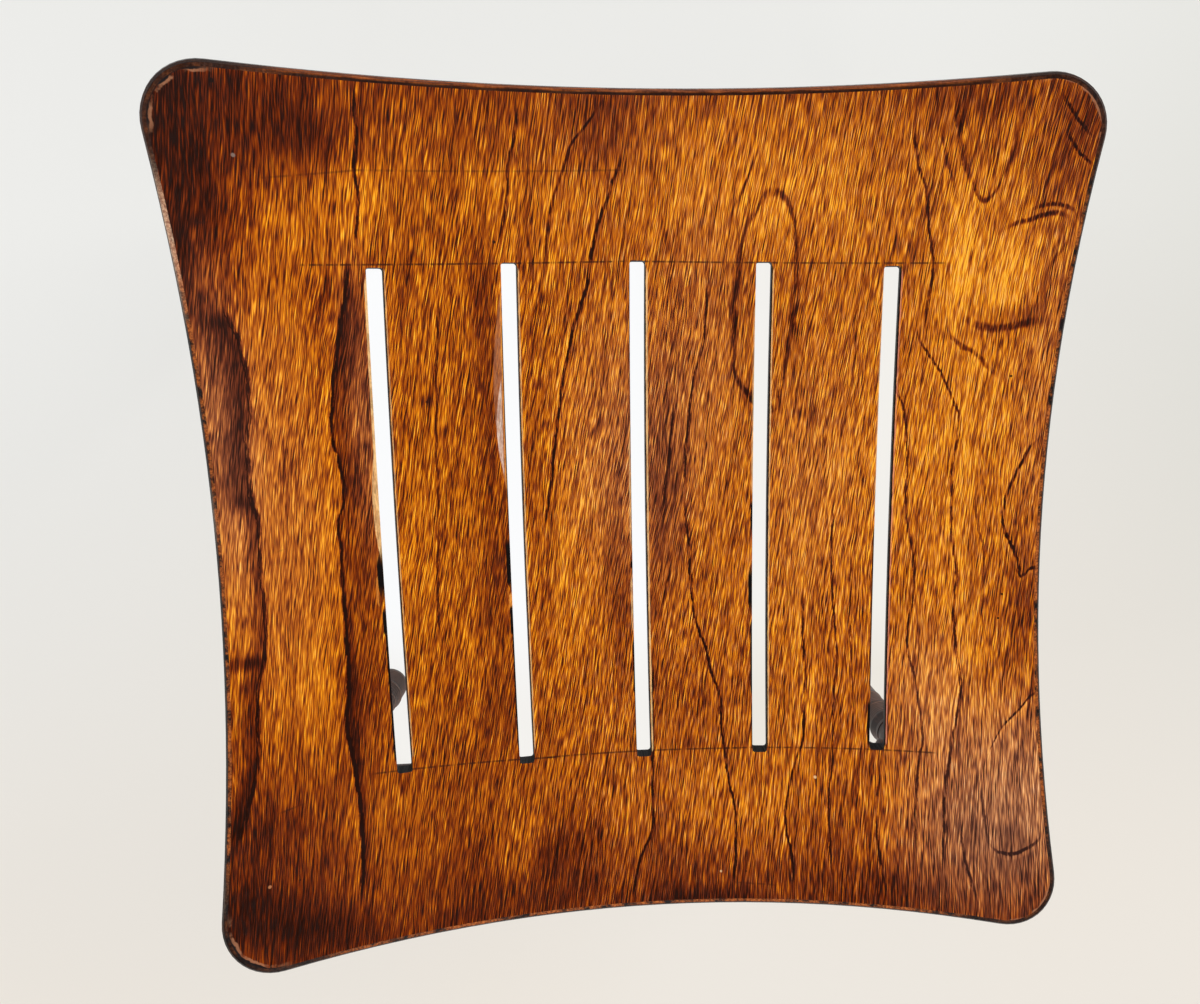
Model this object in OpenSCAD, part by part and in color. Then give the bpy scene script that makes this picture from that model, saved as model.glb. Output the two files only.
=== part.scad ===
// Low stool: a square, dished plywood seat with five slots on four turned, finely ringed legs.
// Lengths are in millimetres and angles in degrees. The floor is at z = 0 and the seat looks up.

/* [Seat panel] */
// Width of the seat across the middle of two opposite sides
seat_width = 420; // [400:2:440]
// Thickness of the bent plywood
seat_thickness = 9; // [7:0.5:11]
// Radius of the hollow top surface
dish_radius = 554; // [520:2:620]
// Radius of the rounded corners
corner_radius = 26; // [22:1:30]
// Outward lean of the side cuts, which hollows the four sides
side_lean = 2.8; // [1.6:0.2:3.6]
// Easing of the upper edge
top_ease = 2.4; // [1.6:0.2:3]
// Set-back of the lower edge behind the upper one
undercut = 0.6; // [0.4:0.1:1]
// Easing of the lower edge
lower_ease = 1; // [0.6:0.2:1.4]
// Height of the lowest point of the top surface above the floor
seat_height = 288; // [276:2:300]

/* [Slots] */
// Number of slots
slot_count = 5; // [3:2:5]
// Distance from slot to slot along the dish
slot_pitch = 66.5; // [57:0.5:70]
// Length of the middle slot
slot_length = 268; // [220:1:270]
// Width of a slot
slot_width = 8; // [6:0.5:10]
// Radius in the corners of a slot
slot_corner = 1.5; // [1:0.25:2.5]

/* [Legs] */
// Distance of a leg's axis from the side of the seat
leg_inset = 15.5; // [15:0.5:18]
// Radius of a leg where rails and stretchers enter it
leg_radius = 14; // [13:0.5:15]
// Largest radius of the foot
foot_radius = 14; // [13:0.5:15]
// Radius of the slimmest part above the foot
waist_radius = 10; // [9.5:0.25:11]
// Radius of the plain shaft above the stretchers
shaft_radius = 11.6; // [11:0.2:12.4]
// Radius of the cup ring below the stretchers
cup_radius = 13.3; // [12.8:0.1:13.8]
// Height of a leg's foot edge
foot_edge = 5; // [4:0.5:6]
// Depth of a fine turned groove
groove_depth = 0.5; // [0.3:0.1:0.7]
// Height of a light turned ring
ring_height = 2.4; // [2:0.2:3]
// Projection of a light turned ring
ring_rise = 0.6; // [0.4:0.1:0.8]

/* [Rails] */
// Thickness of a seat rail
rail_thickness = 18; // [16:1:20]
// Height of a seat rail, square to its curve
rail_height = 34; // [30:1:38]
// Thickness of a rail tenon
tenon_thickness = 8; // [6:0.5:8]
// Height of a rail tenon
tenon_height = 20; // [16:1:22]
// Distance of a tenon's end from the axis of the leg
tenon_stop = 5.5; // [5:0.25:6]
// Radius of the pegs through the tenons
peg_radius = 2; // [1.5:0.25:2]

/* [Stretchers] */
// Height of the stretchers above the floor
stretcher_height = 178; // [172:1:184]
// Radius of a stretcher
stretcher_radius = 6; // [5.5:0.25:6.5]
// Radius of the bead at each end of a stretcher
bead_radius = 8; // [7:0.25:9]
// Radius of a stretcher's round tenon
stretcher_tenon = 4.5; // [4:0.25:5]

/* [Struts] */
// Place of an upright strut between the middle of its side and the leg
upright_share = 0.32; // [0.29:0.01:0.34]
// Distance between the feet of an upright and a leaning strut
strut_foot_gap = 18; // [18:1:24]
// Distance of a leaning strut's head from the leg's axis
strut_head_gap = 43; // [41:1:53]
// Radius of a strut at its ends
strut_end_radius = 3; // [2.5:0.25:3.5]
// Radius of a strut beside its middle ring
strut_radius = 4.6; // [4:0.2:5]
// Radius of the ring in the middle of a strut
strut_ring_radius = 6; // [5.4:0.2:6.6]
// Depth of a strut's socket in the seat rail
socket_depth = 8; // [7:0.5:9]

/* [Corner blocks] */
// Length of a corner block along each rail
block_length = 40; // [38:1:44]
// Height of a block at its screw
block_height = 21; // [19:0.5:23]
// Distance of a screw from the two rails
screw_place = 14; // [13:0.5:15]
// Radius of a screw's shank
screw_radius = 1.8; // [1.5:0.1:2.2]
// Radius of a screw's head
screw_head_radius = 3.8; // [3.4:0.1:4.2]
// Height of a screw's head
screw_head_height = 2.6; // [2.2:0.2:3]
// Length of a screw in the seat panel
screw_bite = 6; // [5:0.25:6.5]
// Width of the slot in a screw's head
driver_slot = 1; // [0.8:0.1:1.2]

/* [Smoothness] */
// Sides of a small circle
round_sides = 64; // [48:8:96]
// Sides of the dish
dish_sides = 180; // [144:12:216]

/* [Hidden] */
$fn = round_sides;

half_width = seat_width / 2;
under_radius = dish_radius + seat_thickness;
dish_centre = seat_height + dish_radius;
leg_place = half_width - leg_inset;

// The side cut is a cone about an axis through the centre of the dish
side_drop = sqrt(pow(dish_radius, 2) - pow(half_width, 2));
side_reach = half_width * cos(side_lean) + side_drop * sin(side_lean);
side_angle = acos(side_reach / dish_radius);

// The corner cut is a cone too, and runs on flush from the side cuts
corner_angle = to_angle(corner_radius, dish_radius);
meet_angle = side_angle + corner_angle;
lean_across = cos(side_lean) / sqrt(2);
lean_down = sin(side_lean);
lean_reach = sqrt(pow(lean_across, 2) + pow(lean_down, 2));
corner_tilt = asin(cos(meet_angle) / lean_reach) - atan2(lean_down, lean_across);
sector_along = cos(corner_tilt) * lean_across - sin(corner_tilt) * lean_down;
sector_half = atan2(lean_across, sector_along);
sweep_down = cos(corner_tilt) * cos(side_lean) - sin(corner_tilt) * lean_down / sqrt(2);
sweep_over = 2;
side_sweep = 2 * atan2(sin(corner_tilt) / sqrt(2), sweep_down) + sweep_over;
sweep_sides = 480;
cut_margin = 14;
cut_width_share = 0.2;
cut_width = seat_width * cut_width_share;
blank_share = 1.2;
blank_width = seat_width * blank_share;
blank_margin = seat_thickness * 2;
blank_height = dish_radius / 2;

// A quarter round drawn with two straight steps
ease_share = 0.293;
ease_slope = (1 - ease_share) / ease_share;

// Leg outline: heights as shares of the stretcher height
foot_band_share = 0.135;
foot_ring_share = 0.149;
ankle_ring_share = 0.236;
ankle_end_share = 0.34;
waist_low_share = 0.38;
waist_high_share = 0.47;
calf_ring_share = 0.508;
knee_ring_share = 0.646;
cup_share = 0.77;
hollow_share = 0.815;
neck_ring_share = 0.838;
neck_share = 0.885;
foot_ring_radius_share = 0.93;
ankle_radius_share = 0.8;
knee_radius_share = 0.79;
cup_band_radius_share = 0.91;
hollow_radius_share = 0.85;
foot_ease_share = 0.25;
foot_grooves = 6;
heel_grooves = 4;
ankle_grooves = 5;
calf_grooves = 7;
knee_grooves = 6;
joint_zone = 15;
collar_height = 5;
collar_gap = 2;
collar_share = 0.94;
top_zone = 48;
leg_top = dish_centre - sqrt(pow(under_radius, 2) - 2 * pow(leg_place, 2));
leg_over = leg_radius;

// Rail joints
tenon_centre = leg_top - tenon_height;
seat_gap = 0.2;
tenon_root = 3;
socket_gap = 0.05;
peg_place = (leg_radius + tenon_stop) / 2;
peg_reach = sqrt(pow(leg_radius, 2) - pow(peg_place, 2));
peg_stop_share = 0.5;
peg_stop = leg_radius * peg_stop_share;
peg_proud = 0.6;

// Stretcher outline
bead_width = 7;
bead_neck_share = 0.83;
middle_ring_share = 1.2;
middle_ring = 4;
rest_radius_share = 0.7;

// Struts
upright_place = leg_place * upright_share;
leaning_foot = upright_place + strut_foot_gap;
leaning_head = leg_place - strut_head_gap;
rail_low_radius = under_radius + rail_height;
strut_tenon = 11;
strut_swell = 26;
strut_ring = 4;

// Blocks
block_face = leg_place - rail_thickness / 2;
screw_along = block_face - screw_place;
screw_seat = dish_centre - sqrt(pow(under_radius, 2) - 2 * pow(screw_along, 2));
screw_top = screw_seat + screw_bite;
block_bottom = screw_seat - block_height;
screw_point_share = 0.35;
driver_depth_share = 0.4;
screw_dome_share = 0.6;

stained_ply = [0.56, 0.27, 0.08];
dark_wood = [0.16, 0.11, 0.09];
block_wood = [0.62, 0.47, 0.3];
steel = [0.62, 0.6, 0.56];

function to_angle(length, radius) = length / radius * 180 / PI;

// A point at a distance from the centre of the dish and an angle from the axis of a cut
function polar(radius, angle) = [radius * sin(angle), radius * cos(angle)];

// Line of the seat's edge; side is 1 where the wood lies at larger angles, -1 at smaller ones
function edge_line(angle, side) =
    let (top = to_angle(top_ease, dish_radius) * side)
    let (low = to_angle(lower_ease, under_radius) * side)
    let (under = to_angle(undercut, under_radius) * side)
    [
        polar(dish_radius - cut_margin, angle + top * (1 + ease_slope)),
        polar(dish_radius - top_ease, angle + top * (1 + ease_slope)),
        polar(dish_radius + top_ease * ease_share, angle + top * ease_share),
        polar(dish_radius + top_ease, angle),
        polar(under_radius - lower_ease, angle + under),
        polar(under_radius + lower_ease, angle + under + 2 * low),
        polar(under_radius + cut_margin, angle + under + 2 * low)
    ];

// A ball about the centre of the dish, with its poles to the front and back
module ball(radius) {
    translate([0, 0, dish_centre])
        rotate([90, 0, 0])
            sphere(r = radius, $fn = dish_sides);
}

module seat_shell() {
    difference() {
        ball(under_radius);
        ball(dish_radius);
    }
}

module seat_side_cut() {
    far = side_angle - to_angle(cut_width, dish_radius);
    translate([0, 0, dish_centre])
        rotate([0, 90 + side_lean, 0])
            rotate([0, 0, -side_sweep / 2])
                rotate_extrude(angle = side_sweep, $fn = sweep_sides)
                    polygon(concat(
                        edge_line(side_angle, 1),
                        [
                            polar(under_radius + cut_margin, far),
                            polar(dish_radius - cut_margin, far)
                        ]
                    ));
}

// Turns an outline about the axis of the back right corner, through the corner's own sector
module corner_sector() {
    translate([0, 0, dish_centre])
        rotate([0, 0, 45])
            rotate([0, 180 - corner_tilt, 0])
                rotate([0, 0, 180 - sector_half])
                    rotate_extrude(angle = 2 * sector_half)
                        children();
}

module seat_corner_space() {
    corner_sector()
        translate([0, dish_radius - cut_width / 2])
            square([cut_width * 2, cut_width]);
}

module seat_corner() {
    intersection() {
        seat_shell();
        corner_sector()
            polygon(concat(
                [[0, dish_radius - cut_margin]],
                edge_line(corner_angle, -1),
                [[0, under_radius + cut_margin]]
            ));
    }
}

module slot_outline(length) {
    straight = length - 2 * slot_corner;
    narrow = slot_width - 2 * slot_corner;
    square([slot_width, straight], center = true);
    square([narrow, length], center = true);
    for (x = [-1, 1], y = [-1, 1])
        translate([x * narrow / 2, y * straight / 2])
            circle(r = slot_corner);
}

// The slots are cut square to the dish; their ends bow with the sides of the seat
module seat_slots() {
    last = (slot_count - 1) / 2;
    for (i = [-last : last]) {
        turn = to_angle(i * slot_pitch, dish_radius);
        translate([0, 0, dish_centre])
            rotate([0, -turn, 0])
                translate([0, 0, -dish_radius - blank_margin])
                    linear_extrude(height = blank_height)
                        slot_outline(slot_length * cos(turn));
    }
}

module seat_panel() {
    color(stained_ply)
        difference() {
            union() {
                difference() {
                    intersection() {
                        seat_shell();
                        translate([-blank_width / 2, -blank_width / 2, seat_height - blank_margin])
                            cube([blank_width, blank_width, blank_height]);
                    }
                    for (turn = [0 : 90 : 270])
                        rotate([0, 0, turn]) {
                            seat_side_cut();
                            seat_corner_space();
                        }
                }
                for (turn = [0 : 90 : 270])
                    rotate([0, 0, turn])
                        seat_corner();
            }
            seat_slots();
            for (turn = [0 : 90 : 270])
                rotate([0, 0, turn])
                    screw_hole();
        }
}

// Space above the curved underside of the seat, cut from all that carries it
module seat_space() {
    ball(under_radius);
}

// Fine grooves between two heights of a turned outline
function band(low, low_radius, high, high_radius, count) = [
    for (i = [0 : count - 1], k = [0, 0.5])
        let (part = (i + k) / count)
        [low_radius + (high_radius - low_radius) * part - groove_depth * k * 2,
            low + (high - low) * part]
];

// A small ring of a turned outline; what follows it starts at its upper edge
function ring(height, radius) = [
    [radius, height - ring_height / 2],
    [radius + ring_rise, height - ring_height / 4],
    [radius + ring_rise, height + ring_height / 4]
];

function leg_outline() =
    let (h = stretcher_height)
    let (rr = ring_height / 2)
    let (low = h - joint_zone)
    let (high = h + joint_zone)
    let (top = leg_top - top_zone)
    concat(
        [
            [0, 0],
            [foot_radius - foot_edge * foot_ease_share, 0],
            [foot_radius, foot_edge * foot_ease_share],
            [foot_radius, foot_edge]
        ],
        band(foot_edge, foot_radius, h * foot_band_share, foot_radius * foot_ring_radius_share, foot_grooves),
        ring(h * foot_ring_share, foot_radius * foot_ring_radius_share),
        band(h * foot_ring_share + rr, foot_radius * foot_ring_radius_share,
            h * ankle_ring_share - rr, foot_radius * ankle_radius_share, heel_grooves),
        ring(h * ankle_ring_share, foot_radius * ankle_radius_share),
        band(h * ankle_ring_share + rr, foot_radius * ankle_radius_share,
            h * ankle_end_share, waist_radius, ankle_grooves),
        [
            [waist_radius, h * waist_low_share],
            [waist_radius, h * waist_high_share]
        ],
        ring(h * calf_ring_share, waist_radius),
        band(h * calf_ring_share + rr, waist_radius,
            h * knee_ring_share - rr, leg_radius * knee_radius_share, calf_grooves),
        ring(h * knee_ring_share, leg_radius * knee_radius_share),
        band(h * knee_ring_share + rr, leg_radius * knee_radius_share,
            h * cup_share - ring_height, cup_radius * cup_band_radius_share, knee_grooves),
        [
            [cup_radius, h * cup_share - rr],
            [cup_radius, h * cup_share + rr],
            [cup_radius * hollow_radius_share, h * hollow_share]
        ],
        ring(h * neck_ring_share, cup_radius * hollow_radius_share),
        [
            [cup_radius * hollow_radius_share, h * neck_ring_share + rr],
            [cup_radius * hollow_radius_share, h * neck_share],
            [leg_radius, low],
            [leg_radius, high],
            [shaft_radius, high + collar_gap],
            [leg_radius * collar_share, high + collar_gap * 2],
            [leg_radius * collar_share, high + collar_gap + collar_height],
            [shaft_radius, high + collar_gap * 2 + collar_height],
            [shaft_radius, top - collar_gap * 2 - collar_height],
            [leg_radius * collar_share, top - collar_gap - collar_height],
            [leg_radius * collar_share, top - collar_gap * 2],
            [shaft_radius, top - collar_gap],
            [leg_radius, top],
            [leg_radius, leg_top + leg_over],
            [0, leg_top + leg_over]
        ]
    );

// The leg at the back right corner with its mortises; the others are mirrored from it
module leg() {
    color(dark_wood)
        difference() {
            translate([leg_place, leg_place, 0])
                rotate_extrude()
                    polygon(leg_outline());
            seat_space();
            rail_tenon_at(socket_gap);
            mirror([1, -1, 0])
                rail_tenon_at(socket_gap);
            stretcher_mortise();
            mirror([1, -1, 0])
                stretcher_mortise();
            peg_bore();
            mirror([1, -1, 0])
                peg_bore();
        }
}

// Tenon of the right rail in the back right leg, and the mortise for it
module rail_tenon_at(gap) {
    length = leg_radius - tenon_stop + tenon_root;
    low = tenon_centre - tenon_height / 2 - gap;
    translate([leg_place - tenon_thickness / 2 - gap, leg_place - tenon_stop - length, low])
        cube([tenon_thickness + 2 * gap, length, tenon_height + 2 * gap]);
}

module stretcher_mortise() {
    translate([leg_place, leg_place - tenon_stop, stretcher_height])
        rotate([90, 0, 0])
            cylinder(r = stretcher_tenon + socket_gap, h = leg_radius);
}

// Bore for the peg that crosses the tenon of the right rail in the back right leg
module peg_bore() {
    translate([leg_place - peg_stop, leg_place - peg_place, tenon_centre])
        rotate([0, 90, 0])
            cylinder(r = peg_radius + socket_gap, h = 2 * leg_radius);
}

// The right rail with its tenons, bores and sockets; the others are turned from it
module rail() {
    color(dark_wood)
        difference() {
            union() {
                difference() {
                    intersection() {
                        translate([leg_place - rail_thickness / 2, -leg_place, seat_height - rail_height])
                            cube([rail_thickness, leg_place * 2, rail_height * 4]);
                        ball(rail_low_radius);
                    }
                    seat_space();
                    for (y = [-1, 1])
                        translate([leg_place, y * leg_place, 0])
                            cylinder(r = leg_radius, h = dish_centre);
                }
                for (flip = [0, 1])
                    mirror([0, flip, 0])
                        rail_tenon_at(0);
            }
            for (flip = [0, 1])
                mirror([0, flip, 0]) {
                    peg_bore();
                    at_upright()
                        strut_space(upright_length);
                    at_leaning()
                        strut_space(leaning_length);
                }
        }
}

function stretcher_outline() =
    let (start = leg_place - tenon_stop)
    let (face = leg_place - leg_radius - seat_gap)
    let (neck = face - bead_width)
    let (thin = stretcher_radius * bead_neck_share)
    concat(
        [
            [0, -start],
            [stretcher_tenon, -start],
            [stretcher_tenon, -face],
            [bead_radius * rest_radius_share, -face],
            [bead_radius, -(face - bead_width / 3)],
            [bead_radius, -(neck + bead_width / 3)],
            [thin, -neck],
            [thin, -(neck - middle_ring / 2)],
            [stretcher_radius, -(neck - middle_ring)],
            [stretcher_radius, -middle_ring],
            [stretcher_radius * middle_ring_share, -middle_ring / 2]
        ],
        [
            [stretcher_radius * middle_ring_share, middle_ring / 2],
            [stretcher_radius, middle_ring],
            [stretcher_radius, neck - middle_ring],
            [thin, neck - middle_ring / 2],
            [thin, neck],
            [bead_radius, neck + bead_width / 3],
            [bead_radius, face - bead_width / 3],
            [bead_radius * rest_radius_share, face],
            [stretcher_tenon, face],
            [stretcher_tenon, start],
            [0, start]
        ]
    );

// The right stretcher with the sockets of its struts; the others are turned from it
module stretcher() {
    color(dark_wood)
        difference() {
            translate([leg_place, 0, stretcher_height])
                rotate([90, 0, 0])
                    rotate_extrude()
                        polygon(stretcher_outline());
            for (flip = [0, 1])
                mirror([0, flip, 0]) {
                    at_upright()
                        strut_space(upright_length);
                    at_leaning()
                        strut_space(leaning_length);
                }
        }
}

// Height of the underside of the right rail at a distance from its middle
function rail_low(along) =
    dish_centre - sqrt(pow(rail_low_radius, 2) - pow(leg_place, 2) - pow(along, 2));

upright_length = rail_low(upright_place) - stretcher_height + socket_depth;
lean_run = leaning_head - leaning_foot;
lean_rise = rail_low(leaning_head) - stretcher_height;
lean_angle = atan2(lean_run, lean_rise);
leaning_length = sqrt(pow(lean_run, 2) + pow(lean_rise, 2)) + socket_depth;

module at_upright() {
    translate([leg_place, upright_place, stretcher_height])
        children();
}

module at_leaning() {
    translate([leg_place, leaning_foot, stretcher_height])
        rotate([-lean_angle, 0, 0])
            children();
}

// Room for both ends of a strut; between them it runs through open air
module strut_space(length) {
    cylinder(r = strut_end_radius + socket_gap, h = length);
}

module strut(length) {
    middle = length / 2;
    color(dark_wood)
        rotate_extrude()
            polygon([
                [0, 0],
                [strut_end_radius, 0],
                [strut_end_radius, strut_tenon],
                [strut_radius, strut_swell],
                [strut_radius, middle - strut_ring],
                [strut_ring_radius, middle - strut_ring / 2],
                [strut_ring_radius, middle + strut_ring / 2],
                [strut_radius, middle + strut_ring],
                [strut_radius, length - strut_swell],
                [strut_end_radius, length - strut_tenon],
                [strut_end_radius, length],
                [0, length]
            ]);
}

// The block in the back right corner, screwed up into the seat
module block() {
    color(block_wood)
        difference() {
            translate([0, 0, block_bottom])
                linear_extrude(height = block_height * 2)
                    polygon([
                        [block_face, block_face],
                        [block_face - block_length, block_face],
                        [block_face, block_face - block_length]
                    ]);
            seat_space();
            translate([leg_place, leg_place, 0])
                cylinder(r = leg_radius, h = dish_centre);
            screw_hole();
        }
}

module screw_hole() {
    translate([screw_along, screw_along, block_bottom])
        cylinder(r = screw_radius + socket_gap, h = screw_top - block_bottom);
}

module screw() {
    reach = screw_top - block_bottom;
    color(steel)
        translate([screw_along, screw_along, block_bottom])
            difference() {
                rotate_extrude()
                    polygon([
                        [0, -screw_head_height],
                        [screw_head_radius * screw_dome_share, -screw_head_height],
                        [screw_head_radius, -screw_head_height * screw_dome_share],
                        [screw_head_radius, 0],
                        [screw_radius, 0],
                        [screw_radius, reach - screw_bite * screw_point_share],
                        [screw_radius * screw_point_share, reach],
                        [0, reach]
                    ]);
                translate([0, 0, -screw_head_height])
                    cube([driver_slot, screw_head_radius * 2, screw_head_height * driver_depth_share * 2],
                        center = true);
            }
}

// The peg that crosses the tenon of the right rail in the back right leg
module peg() {
    color(block_wood)
        translate([leg_place - peg_stop, leg_place - peg_place, tenon_centre])
            rotate([0, 90, 0])
                cylinder(r = peg_radius, h = peg_stop + peg_reach + peg_proud);
}

// Places for the four corners and the four sides
module back_right() {
    children();
}

module back_left() {
    mirror([1, 0, 0])
        children();
}

module front_right() {
    mirror([0, 1, 0])
        children();
}

module front_left() {
    mirror([1, 0, 0])
        mirror([0, 1, 0])
            children();
}

module crossed() {
    mirror([1, -1, 0])
        children();
}

module right_side() {
    children();
}

module back_side() {
    rotate([0, 0, 90])
        children();
}

module left_side() {
    rotate([0, 0, 180])
        children();
}

module front_side() {
    rotate([0, 0, 270])
        children();
}

module upright_a() {
    at_upright()
        strut(upright_length);
}

module upright_b() {
    mirror([0, 1, 0])
        upright_a();
}

module leaning_a() {
    at_leaning()
        strut(leaning_length);
}

module leaning_b() {
    mirror([0, 1, 0])
        leaning_a();
}

seat_panel();
front_left() leg();  // leg_front_left
front_right() leg();  // leg_front_right
back_left() leg();  // leg_back_left
back_right() leg();  // leg_back_right
front_side() rail();  // rail_front
back_side() rail();  // rail_back
left_side() rail();  // rail_left
right_side() rail();  // rail_right
front_side() stretcher();  // stretcher_front
back_side() stretcher();  // stretcher_back
left_side() stretcher();  // stretcher_left
right_side() stretcher();  // stretcher_right
front_side() upright_a();  // strut_front_upright_a
front_side() upright_b();  // strut_front_upright_b
front_side() leaning_a();  // strut_front_leaning_a
front_side() leaning_b();  // strut_front_leaning_b
back_side() upright_a();  // strut_back_upright_a
back_side() upright_b();  // strut_back_upright_b
back_side() leaning_a();  // strut_back_leaning_a
back_side() leaning_b();  // strut_back_leaning_b
left_side() upright_a();  // strut_left_upright_a
left_side() upright_b();  // strut_left_upright_b
left_side() leaning_a();  // strut_left_leaning_a
left_side() leaning_b();  // strut_left_leaning_b
right_side() upright_a();  // strut_right_upright_a
right_side() upright_b();  // strut_right_upright_b
right_side() leaning_a();  // strut_right_leaning_a
right_side() leaning_b();  // strut_right_leaning_b
front_left() block();  // block_front_left
front_right() block();  // block_front_right
back_left() block();  // block_back_left
back_right() block();  // block_back_right
front_left() screw();  // screw_front_left
front_right() screw();  // screw_front_right
back_left() screw();  // screw_back_left
back_right() screw();  // screw_back_right
front_left() peg();  // peg_front_left_a
front_left() crossed() peg();  // peg_front_left_b
front_right() peg();  // peg_front_right_a
front_right() crossed() peg();  // peg_front_right_b
back_left() peg();  // peg_back_left_a
back_left() crossed() peg();  // peg_back_left_b
back_right() peg();  // peg_back_right_a
back_right() crossed() peg();  // peg_back_right_b
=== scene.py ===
"""Studio scene of a low stool: a dished, slotted plywood seat on turned and ringed legs.

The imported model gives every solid. This file finishes each one in its own procedural wood,
stain or steel, adds the pale floor, the soft light and the camera, and reports what it did.
Lengths are in metres; a finish works in millimetres of the seat's plan or of its own piece.
"""

import logging
import math
from collections.abc import Callable, Sequence
from dataclasses import dataclass
from enum import Enum

import bpy
from mathutils import Euler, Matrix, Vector

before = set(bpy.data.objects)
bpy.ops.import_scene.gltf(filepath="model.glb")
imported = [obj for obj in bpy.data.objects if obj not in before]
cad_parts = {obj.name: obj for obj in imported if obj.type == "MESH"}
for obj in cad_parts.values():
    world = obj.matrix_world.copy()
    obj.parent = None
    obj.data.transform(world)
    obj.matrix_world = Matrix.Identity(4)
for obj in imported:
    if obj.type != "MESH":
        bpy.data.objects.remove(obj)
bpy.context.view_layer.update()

log = logging.getLogger("stool")

# Millimetres in a metre
MM = 1000

Colour = tuple[float, float, float]
Point = tuple[float, float]
Stops = Sequence[tuple[float, Colour]]


def tint(red: int, green: int, blue: int) -> Colour:
    """Turns a screen colour into the linear colour that a shader takes.

    Args:
        red: Red, 0 to 255.
        green: Green, 0 to 255.
        blue: Blue, 0 to 255.

    Returns:
        The three linear values.
    """

    def linear(level: int) -> float:
        """Undoes the screen's curve for one channel."""
        share = level / 255
        return share / 12.92 if share <= 0.04045 else ((share + 0.055) / 1.055) ** 2.4

    return (linear(red), linear(green), linear(blue))


class Value:
    """A number, vector or colour that leaves a node, with the arithmetic of numbers."""

    def __init__(self, graph: "Graph", socket: bpy.types.NodeSocket) -> None:
        """Keeps the socket and the graph that it belongs to."""
        self.graph = graph
        self.socket = socket

    def __add__(self, other: "Value | float") -> "Value":
        """Sum."""
        return self.graph.math("ADD", self, other)

    def __radd__(self, other: float) -> "Value":
        """Sum with a number on the left."""
        return self.graph.math("ADD", other, self)

    def __sub__(self, other: "Value | float") -> "Value":
        """Difference."""
        return self.graph.math("SUBTRACT", self, other)

    def __rsub__(self, other: float) -> "Value":
        """A number less this value."""
        return self.graph.math("SUBTRACT", other, self)

    def __mul__(self, other: "Value | float") -> "Value":
        """Product."""
        return self.graph.math("MULTIPLY", self, other)

    def __rmul__(self, other: float) -> "Value":
        """Product with a number on the left."""
        return self.graph.math("MULTIPLY", other, self)

    def __truediv__(self, other: "Value | float") -> "Value":
        """Quotient."""
        return self.graph.math("DIVIDE", self, other)

    def __rtruediv__(self, other: float) -> "Value":
        """A number over this value."""
        return self.graph.math("DIVIDE", other, self)

    def __neg__(self) -> "Value":
        """The value with its sign changed."""
        return self.graph.math("MULTIPLY", self, -1.0)

    def __abs__(self) -> "Value":
        """The size of the value."""
        return self.graph.math("ABSOLUTE", self)

    def lower(self, other: "Value | float") -> "Value":
        """The smaller of two values."""
        return self.graph.math("MINIMUM", self, other)

    def higher(self, other: "Value | float") -> "Value":
        """The larger of two values."""
        return self.graph.math("MAXIMUM", self, other)

    def above(self, low: float, high: float) -> "Value":
        """0 up to low, 1 from high, and a smooth rise between them."""
        return self.graph.between(self, low, high, 0.0, 1.0)

    def below(self, low: float, high: float) -> "Value":
        """1 up to low, 0 from high, and a smooth fall between them."""
        return self.graph.between(self, low, high, 1.0, 0.0)


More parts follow.
